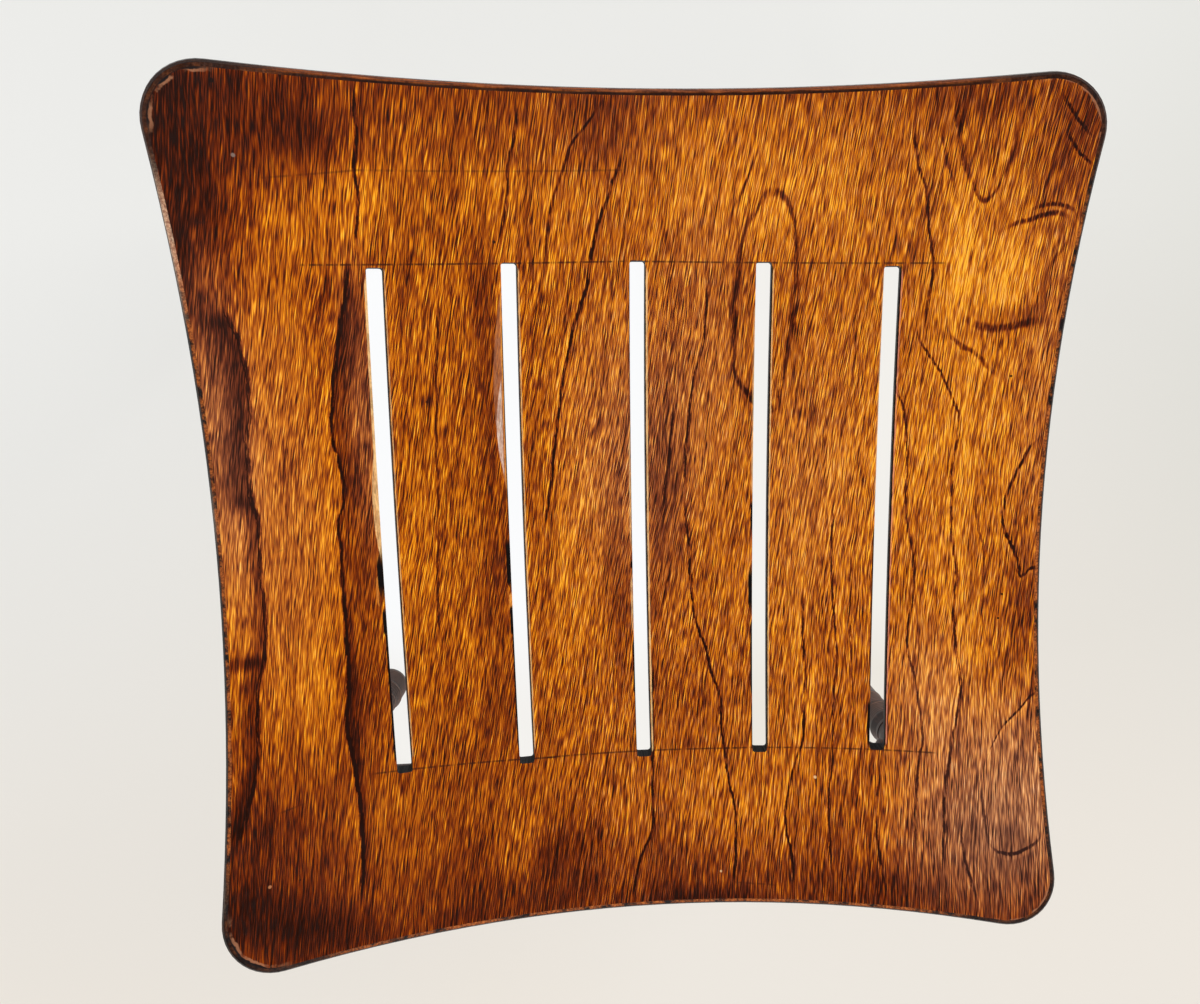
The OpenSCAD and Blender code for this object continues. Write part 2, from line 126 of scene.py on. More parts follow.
@dataclass
class Graph:
    """The nodes of one material or of the world."""

    tree: bpy.types.NodeTree

    def make(
        self,
        kind: str,
        settings: dict[str, object] | None = None,
        inputs: dict[str | int, object] | None = None,
    ) -> bpy.types.Node:
        """Adds a node.

        Args:
            kind: The node's type.
            settings: Its properties; "stops" fills a ramp and "points" a curve.
            inputs: Values or links by socket name or number.

        Returns:
            The node.
        """
        node = self.tree.nodes.new(kind)
        for name, value in (settings or {}).items():
            if name == "stops":
                self._fill_ramp(node, value)
            elif name == "points":
                self._fill_curve(node, value)
            else:
                setattr(node, name, value)
        for name, value in (inputs or {}).items():
            self.feed(node.inputs[name], value)
        return node

    def feed(self, socket: bpy.types.NodeSocket, value: object) -> None:
        """Links a value to a socket, or writes it there."""
        if isinstance(value, Value):
            self.tree.links.new(value.socket, socket)
        elif isinstance(value, bpy.types.NodeSocket):
            self.tree.links.new(value, socket)
        elif socket.type == "RGBA" and isinstance(value, tuple) and len(value) == 3:
            socket.default_value = (*value, 1.0)
        else:
            socket.default_value = value

    @staticmethod
    def _fill_ramp(node: bpy.types.Node, stops: Stops) -> None:
        """Sets a ramp's colours at their places."""
        ramp = node.color_ramp
        while len(ramp.elements) > 1:
            ramp.elements.remove(ramp.elements[-1])
        ramp.elements[0].position = stops[0][0]
        ramp.elements[0].color = (*stops[0][1], 1.0)
        for place, colour in stops[1:]:
            ramp.elements.new(place).color = (*colour, 1.0)

    @staticmethod
    def _fill_curve(node: bpy.types.Node, points: Sequence[Point]) -> None:
        """Sets a curve's points, which run from left to right."""
        curve = node.mapping.curves[0]
        while len(curve.points) > 2:
            curve.points.remove(curve.points[1])
        curve.points[0].location = points[0]
        curve.points[-1].location = points[-1]
        for place in points[1:-1]:
            curve.points.new(*place)
        node.mapping.update()

    def out(self, node: bpy.types.Node, name: str | int = 0) -> Value:
        """Wraps one output of a node."""
        return Value(self, node.outputs[name])

    def math(self, operation: str, first: object, second: object = 0.0) -> Value:
        """Adds a sum on numbers."""
        node = self.make("ShaderNodeMath", {"operation": operation}, {0: first, 1: second})
        return self.out(node)

    def root(self, value: Value) -> Value:
        """Square root."""
        return self.math("SQRT", value)

    def between(
        self,
        value: Value,
        low: "Value | float",
        high: "Value | float",
        start: float,
        end: float,
    ) -> Value:
        """Maps low..high to start..end with a smooth step and level ends."""
        node = self.make(
            "ShaderNodeMapRange",
            {"interpolation_type": "SMOOTHSTEP", "clamp": False},
            {"Value": value, 1: low, 2: high, 3: start, 4: end},
        )
        return self.out(node)

    def vector(self, x: object = 0.0, y: object = 0.0, z: object = 0.0) -> Value:
        """Joins three numbers to a vector."""
        return self.out(self.make("ShaderNodeCombineXYZ", None, {0: x, 1: y, 2: z}))

    def noise(
        self,
        place: Value,
        scale: float = 1.0,
        detail: float = 2.0,
        rough: float = 0.5,
        twist: float = 0.0,
    ) -> Value:
        """Soft noise around 0.5.

        Args:
            place: Where, as a vector.
            scale: Steps per unit of the vector.
            detail: Finer layers.
            rough: Strength of the finer layers.
            twist: Distortion of the pattern.

        Returns:
            The noise.
        """
        node = self.make(
            "ShaderNodeTexNoise",
            {"noise_dimensions": "3D"},
            {
                "Vector": place,
                "Scale": scale,
                "Detail": detail,
                "Roughness": rough,
                "Distortion": twist,
            },
        )
        return self.out(node)

    def ramp(self, value: Value, stops: Stops) -> Value:
        """Colours along a value."""
        node = self.make("ShaderNodeValToRGB", {"stops": stops}, {"Fac": value})
        return self.out(node, "Color")

    def blend(self, share: object, base: object, over: object) -> Value:
        """Lays one colour over another.

        Args:
            share: How much of the upper colour, 0 to 1.
            base: Lower colour.
            over: Upper colour.

        Returns:
            The colour.
        """
        node = self.make(
            "ShaderNodeMix",
            {"data_type": "RGBA", "clamp_factor": True},
            {0: share, 6: base, 7: over},
        )
        return self.out(node, 2)

    def curve(self, value: Value, points: Sequence[Point]) -> Value:
        """A drawn curve's height at a value from 0 to 1."""
        node = self.make("ShaderNodeFloatCurve", {"points": points}, {"Value": value})
        return self.out(node)

    def here(self) -> Value:
        """The place on the piece, in metres."""
        return self.out(self.make("ShaderNodeTexCoord"), "Object")

    def split(self, vector: Value) -> tuple[Value, Value, Value]:
        """The three numbers of a vector."""
        node = self.make("ShaderNodeSeparateXYZ", None, {0: vector})
        return self.out(node, 0), self.out(node, 1), self.out(node, 2)

    def arrow(self, operation: str, first: object, second: object = None) -> Value:
        """Adds a sum on vectors; lengths and dot products come back as numbers."""
        inputs = {0: first} if second is None else {0: first, 1: second}
        node = self.make("ShaderNodeVectorMath", {"operation": operation}, inputs)
        single = operation in {"DOT_PRODUCT", "LENGTH", "DISTANCE"}
        return self.out(node, "Value" if single else "Vector")

    def bump(self, height: Value, depth: float, strength: float = 1.0) -> Value:
        """Relief of a height that runs from 0 to 1, depth metres high."""
        node = self.make(
            "ShaderNodeBump",
            None,
            {"Height": height, "Distance": depth, "Strength": strength},
        )
        return self.out(node)


@dataclass
class Stencil:
    """A small calculation that is drawn once and used at many places."""

    name: str
    inputs: tuple[str, ...]
    draw: Callable[..., Value]
    tree: bpy.types.NodeTree | None = None

    def at(self, graph: Graph, *values: "Value | float") -> Value:
        """Uses the calculation.

        Args:
            graph: The nodes of the material that needs it.
            values: What its inputs get, in their order.

        Returns:
            The result.
        """
        if self.tree is None:
            self.tree = self._drawn()
        node = graph.make(
            "ShaderNodeGroup", {"node_tree": self.tree}, dict(enumerate(values))
        )
        return graph.out(node)

    def _drawn(self) -> bpy.types.NodeTree:
        """Draws the calculation in a tree of its own."""
        tree = bpy.data.node_groups.new(self.name, "ShaderNodeTree")
        for name in self.inputs:
            tree.interface.new_socket(name, in_out="INPUT", socket_type="NodeSocketFloat")
        tree.interface.new_socket("result", in_out="OUTPUT", socket_type="NodeSocketFloat")
        graph = Graph(tree)
        entry = graph.make("NodeGroupInput")
        values = [graph.out(entry, number) for number in range(len(self.inputs))]
        graph.make("NodeGroupOutput", None, {0: self.draw(graph, *values)})
        return tree


class Axis(Enum):
    """Direction in which the grain of a piece runs."""

    X = 0
    Y = 1
    Z = 2


@dataclass(frozen=True)
class PictureView:
    """The view of the stool: where the camera is and what a picture's point shows."""

    width: int = 1200
    height: int = 1004
    focal: float = 995.454
    turn: tuple[float, float, float] = (0.18801, 0.09124, 0.02636)
    offset: tuple[float, float, float] = (-0.014813, 0.001212, -0.545686)
    middle: Point = (665.962, 516.844)
    sensor: float = 36.0
    nearest: float = 0.01
    farthest: float = 50.0
    seat_height: float = 0.288
    dish_radius: float = 0.554

    def dish_top(self) -> float:
        """Height of the centre of the dish's curve."""
        return self.seat_height + self.dish_radius

    def camera_turn(self) -> Euler:
        """Turn from the stool's frame to the camera's."""
        return Euler(self.turn, "XYZ")

    def eye(self) -> Vector:
        """Place of the camera in the stool's frame."""
        back = self.camera_turn().to_matrix().transposed()
        return back @ -Vector(self.offset) + Vector((0, 0, self.seat_height))

    def seat_point(self, column: float, row: float) -> Point:
        """Finds what a point of the picture shows on the dish.

        Args:
            column: Pixels from the picture's left.
            row: Pixels from its top.

        Returns:
            The plan position on the seat, in millimetres.
        """
        back = self.camera_turn().to_matrix().transposed()
        sight = Vector(
            (column - self.middle[0], self.middle[1] - row, -self.focal)
        ).normalized()
        sight = back @ sight
        centre = Vector((0, 0, self.dish_top()))
        gap = self.eye() - centre
        half = gap.dot(sight)
        reach = -half + math.sqrt(half * half - gap.length_squared + self.dish_radius**2)
        spot = self.eye() + sight * reach
        return (spot.x * MM, spot.y * MM)

    def place_camera(self) -> bpy.types.Object:
        """Adds the camera and makes it the scene's own.

        Returns:
            The camera.
        """
        data = bpy.data.cameras.new("picture_view")
        data.sensor_width = self.sensor
        data.lens = self.focal / self.width * data.sensor_width
        data.shift_x = -(self.middle[0] - self.width / 2) / self.width
        data.shift_y = (self.middle[1] - self.height / 2) / self.width
        data.clip_start, data.clip_end = self.nearest, self.farthest
        camera = bpy.data.objects.new("picture_view", data)
        bpy.context.scene.collection.objects.link(camera)
        camera.rotation_euler = (
            self.camera_turn().to_matrix().transposed().to_euler("XYZ")
        )
        camera.location = self.eye()
        bpy.context.scene.camera = camera
        return camera


class Trace(Enum):
    """How a line of the veneer's figure is laid out."""

    ALONG = "across the seat as a function of the place along the grain"
    ACROSS = "along the grain as a function of the place across the seat"
    LOOP = "distance from a middle as a function of the direction"


@dataclass(frozen=True)
class FigureLine:
    """One dark line of the veneer, traced through points of the picture."""

    points: tuple[Point, ...]
    strength: float = 0.7
    width: float = 0.8
    trace: Trace = Trace.ALONG
    shade_left: float = 0.0
    shade_right: float = 0.0
    shade: float = 0.0


# Millimetres of the seat that a drawn curve spans
SPAN = 500.0
# How far a figure line runs past its last points and how long its ends fade, in millimetres
OVERRUN = 2.0
FADE = 12.0
# A line's dark core and the light band at its left, in widths of the line: how far aside
# each lies, where it starts to fade and where it is gone
CORE_ASIDE, CORE_FADES, CORE_GONE = 0.4, 0.3, 1.3
BAND_ASIDE, BAND_FADES, BAND_GONE = 1.3, 0.5, 1.7
BAND_LIGHT = 0.16


def _strip(
    graph: Graph,
    gap: Value,
    run: Value,
    low: Value,
    high: Value,
    fade: Value,
    width: Value,
    strength: Value,
    dash: Value,
) -> Value:
    """A broken dark line with a lighter band of sapwood at its left."""
    ends = run.above(low - OVERRUN, low + fade) * run.below(high - fade, high + OVERRUN)
    return _line_pair(gap, width, dash) * strength * ends


def _line_pair(gap: Value, width: "Value | float", dash: Value) -> Value:
    """Darkness of a line, less the lightness of the band at its left."""
    dark = abs(gap - width * CORE_ASIDE).below(width * CORE_FADES, width * CORE_GONE) * dash
    light = abs(gap + width * BAND_ASIDE).below(width * BAND_FADES, width * BAND_GONE)
    return dark - light * BAND_LIGHT


def _shadow(
    graph: Graph,
    gap: Value,
    run: Value,
    low: Value,
    high: Value,
    left: Value,
    right: Value,
    shade: Value,
) -> Value:
    """Darkness of the shaded side of a line."""
    ends = run.above(low - OVERRUN, low + FADE) * run.below(high - FADE, high + OVERRUN)
    beside = gap.above(-left - 0.01, 0.0).lower(gap.below(0.0, right + 0.01))
    return beside * shade * ends


STRIP = Stencil(
    "line_strip",
    ("gap", "run", "low", "high", "fade", "width", "strength", "dash"),
    _strip,
)
SHADOW = Stencil(
    "line_shadow", ("gap", "run", "low", "high", "left", "right", "shade"), _shadow
)


@dataclass(frozen=True)
class Figure:
    """The lines of the face veneer, drawn on the plan of the seat."""

    view: PictureView
    lines: tuple[FigureLine, ...]

    def mask(self, graph: Graph, x: Value, y: Value, dash: Value) -> Value:
        """Adds up the darkness of all the lines and the lightness beside them.

        Args:
            graph: The material's nodes.
            x: Place across the seat, in millimetres.
            y: Place along the grain, in millimetres.
            dash: Darkness along the lines, which breaks them into dashes.

        Returns:
            0 on plain wood, up to 1 on the darkest line and below 0 on a light band.
        """
        across = x / SPAN + 0.5
        along = y / SPAN + 0.5
        total: Value | None = None
        for line in self.lines:
            mark = self._line(graph, line, x, y, across, along, dash)
            total = mark if total is None else total + mark
        return total.lower(1.0)

    def _line(
        self,
        graph: Graph,
        line: FigureLine,
        x: Value,
        y: Value,
        across: Value,
        along: Value,
        dash: Value,
    ) -> Value:
        """Darkness of one line with its faded ends and its shaded side."""
        spots = [self.view.seat_point(*point) for point in line.points]
        if line.trace is Trace.LOOP:
            return self._loop(graph, line, spots, x, y, dash)
        if line.trace is Trace.ALONG:
            spots = sorted((v, u) for u, v in spots)
            place, other, run = along, x, y
        else:
            spots = sorted(spots)
            place, other, run = across, y, x
        curve = graph.curve(
            place, [(u / SPAN + 0.5, v / SPAN + 0.5) for u, v in spots]
        )
        gap = other - (curve * SPAN - SPAN / 2)
        low, high = spots[0][0], spots[-1][0]
        fade = min(FADE, (high - low) / 3)
        mark = STRIP.at(
            graph, gap, run, low, high, fade, line.width, line.strength, dash
        )
        if line.shade:
            shade = SHADOW.at(
                graph, gap, run, low, high, line.shade_left, line.shade_right, line.shade
            )
            mark = mark + shade
        return mark

    def _loop(
        self,
        graph: Graph,
        line: FigureLine,
        spots: list[Point],
        x: Value,
        y: Value,
        dash: Value,
    ) -> Value:
        """Darkness of a closed line."""
        middle_x = sum(u for u, _ in spots) / len(spots)
        middle_y = (min(v for _, v in spots) + max(v for _, v in spots)) / 2
        turns = sorted(
            (
                math.atan2(v - middle_y, u - middle_x) / math.tau + 0.5,
                math.hypot(u - middle_x, v - middle_y),
            )
            for u, v in spots
        )
        first, last = turns[0], turns[-1]
        step = first[0] + 1 - last[0]
        seam = last[1] + (first[1] - last[1]) * (1 - last[0]) / step
        turns = [(0.0, seam), *turns, (1.0, seam)]
        from_x, from_y = x - middle_x, y - middle_y
        turn = graph.math("ARCTAN2", from_y, from_x) / math.tau + 0.5
        radius = graph.curve(turn, [(a, r / 100) for a, r in turns]) * 100
        reach = graph.root(from_x * from_x + from_y * from_y)
        return _line_pair(reach - radius, line.width, dash) * line.strength


# The veneer's dark lines, in pixels of the picture
FIGURE = (
    FigureLine(
        (
            (352, 80), (353, 110), (355, 140), (353, 170), (357, 195), (357, 215), (355, 240),
            (357, 262),
        ),
        0.7, 0.9,
    ),
    FigureLine(
        (
            (222, 300), (228, 320), (236, 335), (240, 352), (246, 372), (248, 395), (249, 415),
            (246, 440), (248, 470), (250, 500), (257, 520),
        ),
        0.6, 1.0, Trace.ALONG, 19.0, 0.0, 0.55,
    ),
    FigureLine(
        (
            (250, 490), (257, 520), (259, 550), (261, 580), (264, 610), (265, 640), (263, 660),
            (258, 690), (257, 720), (258, 750), (255, 780), (250, 800), (245, 820), (236, 850),
        ),
        0.6, 1.0, Trace.ALONG, 9.0, 0.0, 0.5,
    ),
    FigureLine(
        (
            (349, 262), (345, 285), (340, 320), (335, 360), (331, 400), (332, 440), (340, 470),
            (343, 500), (338, 520), (340, 550), (341, 580),
        ),
        0.55, 1.0, Trace.ALONG, 0.0, 15.0, 0.34,
    ),
    FigureLine(
        (
            (340, 560), (341, 580), (344, 610), (346, 650), (348, 690), (346, 720), (350, 750),
            (356, 780), (360, 820), (362, 860), (360, 900),
        ),
        0.8, 1.1, Trace.ALONG, 0.0, 7.0, 0.35,
    ),
    FigureLine(((514, 92), (515, 130), (508, 160), (506, 200), (502, 225), (499, 245)), 0.6, 0.8),
    FigureLine(((438, 290), (436, 380), (436, 450), (438, 520), (437, 600), (440, 640)), 0.45, 0.8),
    FigureLine(
        (
            (602, 100), (585, 125), (570, 145), (562, 170), (555, 190), (550, 210), (546, 235),
            (545, 262),
        ),
        0.55, 0.9,
    ),
    FigureLine(
        (
            (622, 150), (618, 165), (612, 180), (606, 200), (600, 215), (593, 240), (589, 265),
            (585, 290), (578, 310), (572, 330), (568, 350), (563, 375), (560, 400), (556, 430),
            (553, 450), (551, 480), (548, 500), (545, 525),
        ),
        0.8, 1.0,
    ),
    FigureLine(
        (
            (708, 270), (706, 300), (702, 345), (695, 370), (690, 400), (686, 440), (684, 490),
        ),
        0.75, 0.8,
    ),
    FigureLine(((674, 400), (670, 440), (667, 470), (663, 510)), 0.6, 0.8),
    FigureLine(((760, 140), (755, 155), (748, 175), (738, 198), (730, 215)), 0.6, 0.9),
    FigureLine(
        (
            (738, 290), (736, 320), (734, 350), (737, 375), (748, 392), (758, 402), (770, 408),
            (778, 395), (785, 360), (790, 330), (793, 300), (795, 270), (795, 245), (793, 222),
            (788, 206), (780, 196), (772, 194), (763, 200), (757, 212), (750, 222), (744, 240),
            (740, 265),
        ),
        0.52, 2.3, Trace.LOOP,
    ),
    FigureLine(
        (
            (684, 500), (688, 550), (690, 580), (692, 600), (696, 625), (704, 645), (708, 660),
            (713, 680), (719, 695), (720, 720), (724, 750), (728, 780), (733, 800), (735, 850),
            (733, 885),
        ),
        0.85, 0.9,
    ),
    FigureLine(
        (
            (652, 660), (652, 700), (652, 750), (652, 800), (653, 820), (650, 835), (641, 855),
            (635, 880), (632, 900),
        ),
        0.8, 0.9,
    ),
    FigureLine(
        (
            (802, 590), (803, 650), (805, 680), (803, 710), (802, 740), (795, 760), (788, 790),
            (785, 830), (790, 850), (793, 890),
        ),
        0.7, 0.8,
    ),
    FigureLine(
        (
            (833, 500), (832, 600), (836, 650), (833, 700), (832, 760), (828, 800), (830, 850),
            (832, 880),
        ),
        0.6, 0.7,
    ),
    FigureLine(((850, 550), (850, 640), (852, 700), (853, 740)), 0.45, 0.7),
    FigureLine(
        (
            (913, 120), (918, 165), (925, 190), (927, 215), (930, 240), (933, 265), (927, 300),
            (922, 330),
        ),
        0.6, 0.9,
    ),
    FigureLine(((957, 90), (958, 130), (962, 155), (970, 180), (977, 196)), 0.5, 1.5),
    FigureLine(((972, 184), (978, 197), (984, 202), (992, 197), (1000, 184)), 0.55, 1.5, Trace.ACROSS),
    FigureLine(((993, 196), (1000, 185), (1005, 170), (1012, 150), (1018, 120)), 0.42, 1.6),
    FigureLine(((938, 120), (943, 145), (948, 165), (953, 190), (958, 210)), 0.4, 1.0),
    FigureLine(
        (
            (997, 236), (1004, 230), (1018, 224), (1032, 220), (1046, 216), (1058, 214),
            (1066, 216), (1072, 224),
        ),
        0.6, 1.4, Trace.ACROSS,
    ),
    FigureLine(((1071, 224), (1070, 234), (1063, 246), (1054, 258), (1047, 270), (1041, 282)), 0.36, 1.2),
    FigureLine(((997, 240), (989, 252), (984, 268), (980, 285)), 0.3, 1.0),
    FigureLine(((1030, 211), (1045, 206), (1060, 205), (1072, 210), (1079, 222)), 0.5, 1.2, Trace.ACROSS),
    FigureLine(
        (
            (958, 308), (966, 321), (980, 328), (1000, 330), (1020, 326), (1048, 320),
        ),
        0.42, 2.2, Trace.ACROSS,
    ),
    FigureLine(((975, 225), (972, 250), (966, 272), (960, 290), (957, 308)), 0.4, 1.0),
    FigureLine(
        (
            (940, 318), (946, 330), (958, 345), (975, 355), (986, 366), (1000, 380),
        ),
        0.5, 1.6, Trace.ACROSS,
    ),
    FigureLine(
        (
            (916, 330), (925, 350), (935, 365), (943, 380), (950, 395), (957, 410), (958, 430),
            (955, 450), (951, 470), (951, 500), (951, 530), (953, 550), (956, 570), (953, 600),
            (955, 650), (958, 670), (960, 690), (955, 720), (950, 750), (945, 780), (943, 830),
            (942, 870),
        ),
        0.7, 0.9,
    ),
    FigureLine(
        (
            (892, 350), (894, 380), (903, 410), (905, 430), (907, 460), (905, 490), (906, 520),
            (912, 550), (913, 580), (912, 600), (908, 620), (907, 650), (912, 670), (918, 700),
            (920, 720), (922, 740), (918, 760), (915, 800), (915, 850),
        ),
        0.6, 0.8,
    ),
    FigureLine(
        (
            (1042, 434), (1036, 440), (1027, 450), (1022, 460), (1012, 480), (1004, 500),
            (1002, 515), (1004, 530), (1011, 545), (1016, 560), (1021, 580),
        ),
        0.85, 0.9,
    ),
    FigureLine(((1017, 572), (1022, 577), (1028, 570), (1038, 568)), 0.7, 1.0, Trace.ACROSS),
    FigureLine(
        (
            (985, 765), (990, 750), (995, 740), (1002, 728), (1012, 717), (1022, 707), (1030, 697),
            (1040, 692),
        ),
        0.8, 0.9, Trace.ACROSS,
    ),
    FigureLine(((979, 780), (983, 810), (985, 830), (990, 845)), 0.5, 0.9),
    FigureLine(
        (
            (984, 836), (990, 847), (1000, 853), (1010, 855), (1025, 850), (1037, 842), (1046, 826),
        ),
        0.6, 1.0, Trace.ACROSS,
    ),
    FigureLine(((975, 490), (978, 530), (983, 550), (982, 600), (980, 640)), 0.4, 0.8),
    FigureLine(((882, 765), (876, 800), (878, 850), (886, 890)), 0.5, 0.8),
    FigureLine(((957, 820), (965, 860), (970, 880), (978, 905)), 0.5, 0.8),
    FigureLine(((1062, 92), (1068, 105), (1077, 120), (1092, 135)), 0.5, 1.0),
    FigureLine(((1068, 132), (1074, 146), (1083, 158), (1094, 168)), 0.5, 1.0),
)


@dataclass(frozen=True)
class Patch:
    """A soft oval place of the picture, in pixels, and how strongly it works."""

    column: float
    row: float
    wide: float
    tall: float
    share: float


# Places where the veneer is darker (below 0) or lighter than the rest
BLOTS = tuple(
    Patch(*row)
    for row in (
        (190, 130, 90, 90, -0.30), (180, 220, 44, 90, -0.18), (270, 120, 60, 60, -0.10),
        (208, 400, 22, 80, -0.05), (362, 480, 16, 180, -0.11), (345, 650, 30, 120, -0.10),
        (320, 300, 30, 60, -0.06), (491, 400, 14, 170, -0.20), (500, 640, 20, 120, -0.12),
        (665, 480, 22, 90, -0.20), (650, 600, 20, 80, -0.10), (575, 440, 50, 160, 0.05),
        (700, 440, 24, 90, 0.06), (825, 430, 40, 110, 0.08), (705, 640, 30, 60, -0.05),
        (740, 150, 90, 70, 0.14), (610, 120, 40, 50, -0.14), (540, 440, 14, 200, -0.12),
        (615, 540, 14, 140, -0.12), (340, 550, 18, 70, 0.14), (505, 330, 30, 70, 0.10),
        (230, 240, 40, 60, -0.12), (855, 180, 50, 70, 0.04), (640, 110, 40, 40, 0.06),
        (360, 190, 24, 50, 0.12), (490, 190, 30, 24, 0.14), (430, 500, 40, 120, 0.04),
        (960, 300, 36, 60, 0.10), (1008, 272, 26, 38, 0.24), (1040, 250, 30, 26, 0.06),
        (964, 265, 16, 56, 0.24), (1005, 325, 50, 14, -0.16), (925, 240, 16, 50, -0.10),
        (1045, 300, 24, 24, -0.12), (985, 100, 60, 30, -0.10), (742, 320, 8, 60, -0.05),
        (752, 385, 9, 22, -0.15), (797, 330, 7, 55, -0.04), (775, 250, 14, 40, 0.08),
        (360, 560, 14, 60, -0.12), (358, 720, 16, 60, -0.16), (270, 920, 60, 30, -0.20),
        (765, 680, 30, 40, -0.12), (880, 670, 10, 60, -0.10), (820, 390, 30, 60, -0.10),
        (480, 290, 14, 40, -0.14), (590, 860, 36, 40, -0.08), (520, 846, 20, 26, 0.12),
        (325, 140, 40, 36, -0.18), (176, 268, 18, 50, -0.20), (1052, 195, 28, 64, -0.16),
        (1014, 610, 22, 70, -0.18), (1012, 850, 24, 60, -0.04), (244, 600, 24, 60, 0.13),
        (320, 690, 20, 60, 0.13), (620, 585, 24, 50, -0.11), (320, 935, 44, 26, -0.18),
        (374, 380, 14, 50, -0.13), (700, 900, 60, 14, -0.14), (950, 450, 40, 110, 0.06),
        (890, 520, 12, 80, 0.14), (930, 720, 24, 60, 0.14), (790, 700, 40, 90, 0.10),
        (730, 800, 60, 50, 0.12), (1030, 560, 20, 60, -0.12), (1000, 840, 60, 40, -0.08),
        (270, 860, 80, 60, -0.24), (300, 780, 50, 50, -0.12), (900, 890, 60, 24, -0.14),
        (1085, 120, 30, 60, -0.20), (560, 840, 40, 40, -0.10), (245, 664, 22, 7, -0.30),
    )
)


def _soft_spot(
    graph: Graph, x: Value, y: Value, u: Value, v: Value, wide: Value, tall: Value
) -> Value:
    """1 in the middle of an oval, falling softly to 0 well outside it."""
    across, along = (x - u) / wide, (y - v) / tall
    reach = graph.root(across * across + along * along)
    return reach.below(0.1, 1.7)


def _speck(
    graph: Graph, x: Value, y: Value, u: Value, v: Value, radius: Value
) -> Value:
    """1 on a small round speck."""
    gap = graph.root((x - u) * (x - u) + (y - v) * (y - v))
    return gap.below(radius * 0.5, radius)


def _scratch(
    graph: Graph, x: Value, y: Value, slope: Value, rise: Value, low: Value, high: Value
) -> Value:
    """1 on a thin straight line that runs across the seat."""
    gap = abs(y - (x * slope + rise))
    run = x.above(low - 1, low + 4) * x.below(high - 4, high + 1)
    return gap.below(0.15, 0.75) * run


def _worn_strip(
    graph: Graph,
    gap: Value,
    y: Value,
    low: Value,
    high: Value,
    width: Value,
    start: Value,
    taper: Value,
) -> Value:
    """1 on a strip beside a slot with two tapered ends."""
    inside = y.above(low - 1, low + taper) * y.below(high - taper, high + 1)
    edge = (inside * width - gap).above(-0.12, 0.22)
    return edge * inside * gap.above(start - 0.15, start + 0.1)


def _worn_lens(
    graph: Graph,
    gap: Value,
    y: Value,
    low: Value,
    high: Value,
    width: Value,
    start: Value,
    taper: Value,
) -> Value:
    """1 on a strip beside a slot that swells in its middle."""
    share = (y - low) / (high - low)
    swell = (share * (1 - share) * 4).higher(0.0)
    edge = (swell * width - gap).above(-0.12, 0.22)
    return edge * swell.above(0.0, 0.08) * gap.above(start - 0.15, start + 0.1)


SOFT_SPOT = Stencil("soft_spot", ("x", "y", "u", "v", "wide", "tall"), _soft_spot)
SPECK = Stencil("speck", ("x", "y", "u", "v", "radius"), _speck)
SCRATCH = Stencil("scratch", ("x", "y", "slope", "rise", "low", "high"), _scratch)
WORN = ("gap", "y", "low", "high", "width", "start", "taper")
WORN_STRIP = Stencil("worn_strip", WORN, _worn_strip)
WORN_LENS = Stencil("worn_lens", WORN, _worn_lens)


# Painted sheen: places where reflected light on the varnish makes the stain look paler and greyer
SHEEN_PATCHES = tuple(
    Patch(*row)
    for row in (
        (700, 360, 40, 120, 0.15), (810, 470, 46, 110, 0.10), (1050, 380, 30, 150, 0.12),
        (1030, 800, 80, 90, 0.72), (960, 850, 60, 60, 0.45), (930, 720, 40, 80, 0.30),
        (620, 450, 50, 110, 0.20), (655, 480, 40, 110, 0.15), (215, 420, 34, 150, 0.42),
        (270, 500, 50, 160, 0.16), (368, 420, 20, 120, 0.34),
    )
)


@dataclass(frozen=True)
class Wear:
    """A worn, chipped or blackened run of wood beside a slot."""

    slot: int
    side: int
    first_row: float
    last_row: float
    width: float
    colour: Colour
    start: float = 0.0
    taper: float = 5.0
    lens: bool = False
    strength: float = 1.0


# Colours of the wear: burnt, pale, stained, bare and chalky wood
SOOT = tint(14, 9, 8)
CREAM = tint(236, 190, 128)
HONEY = tint(226, 146, 60)
BARE = tint(158, 100, 68)
CHALK = tint(226, 204, 188)

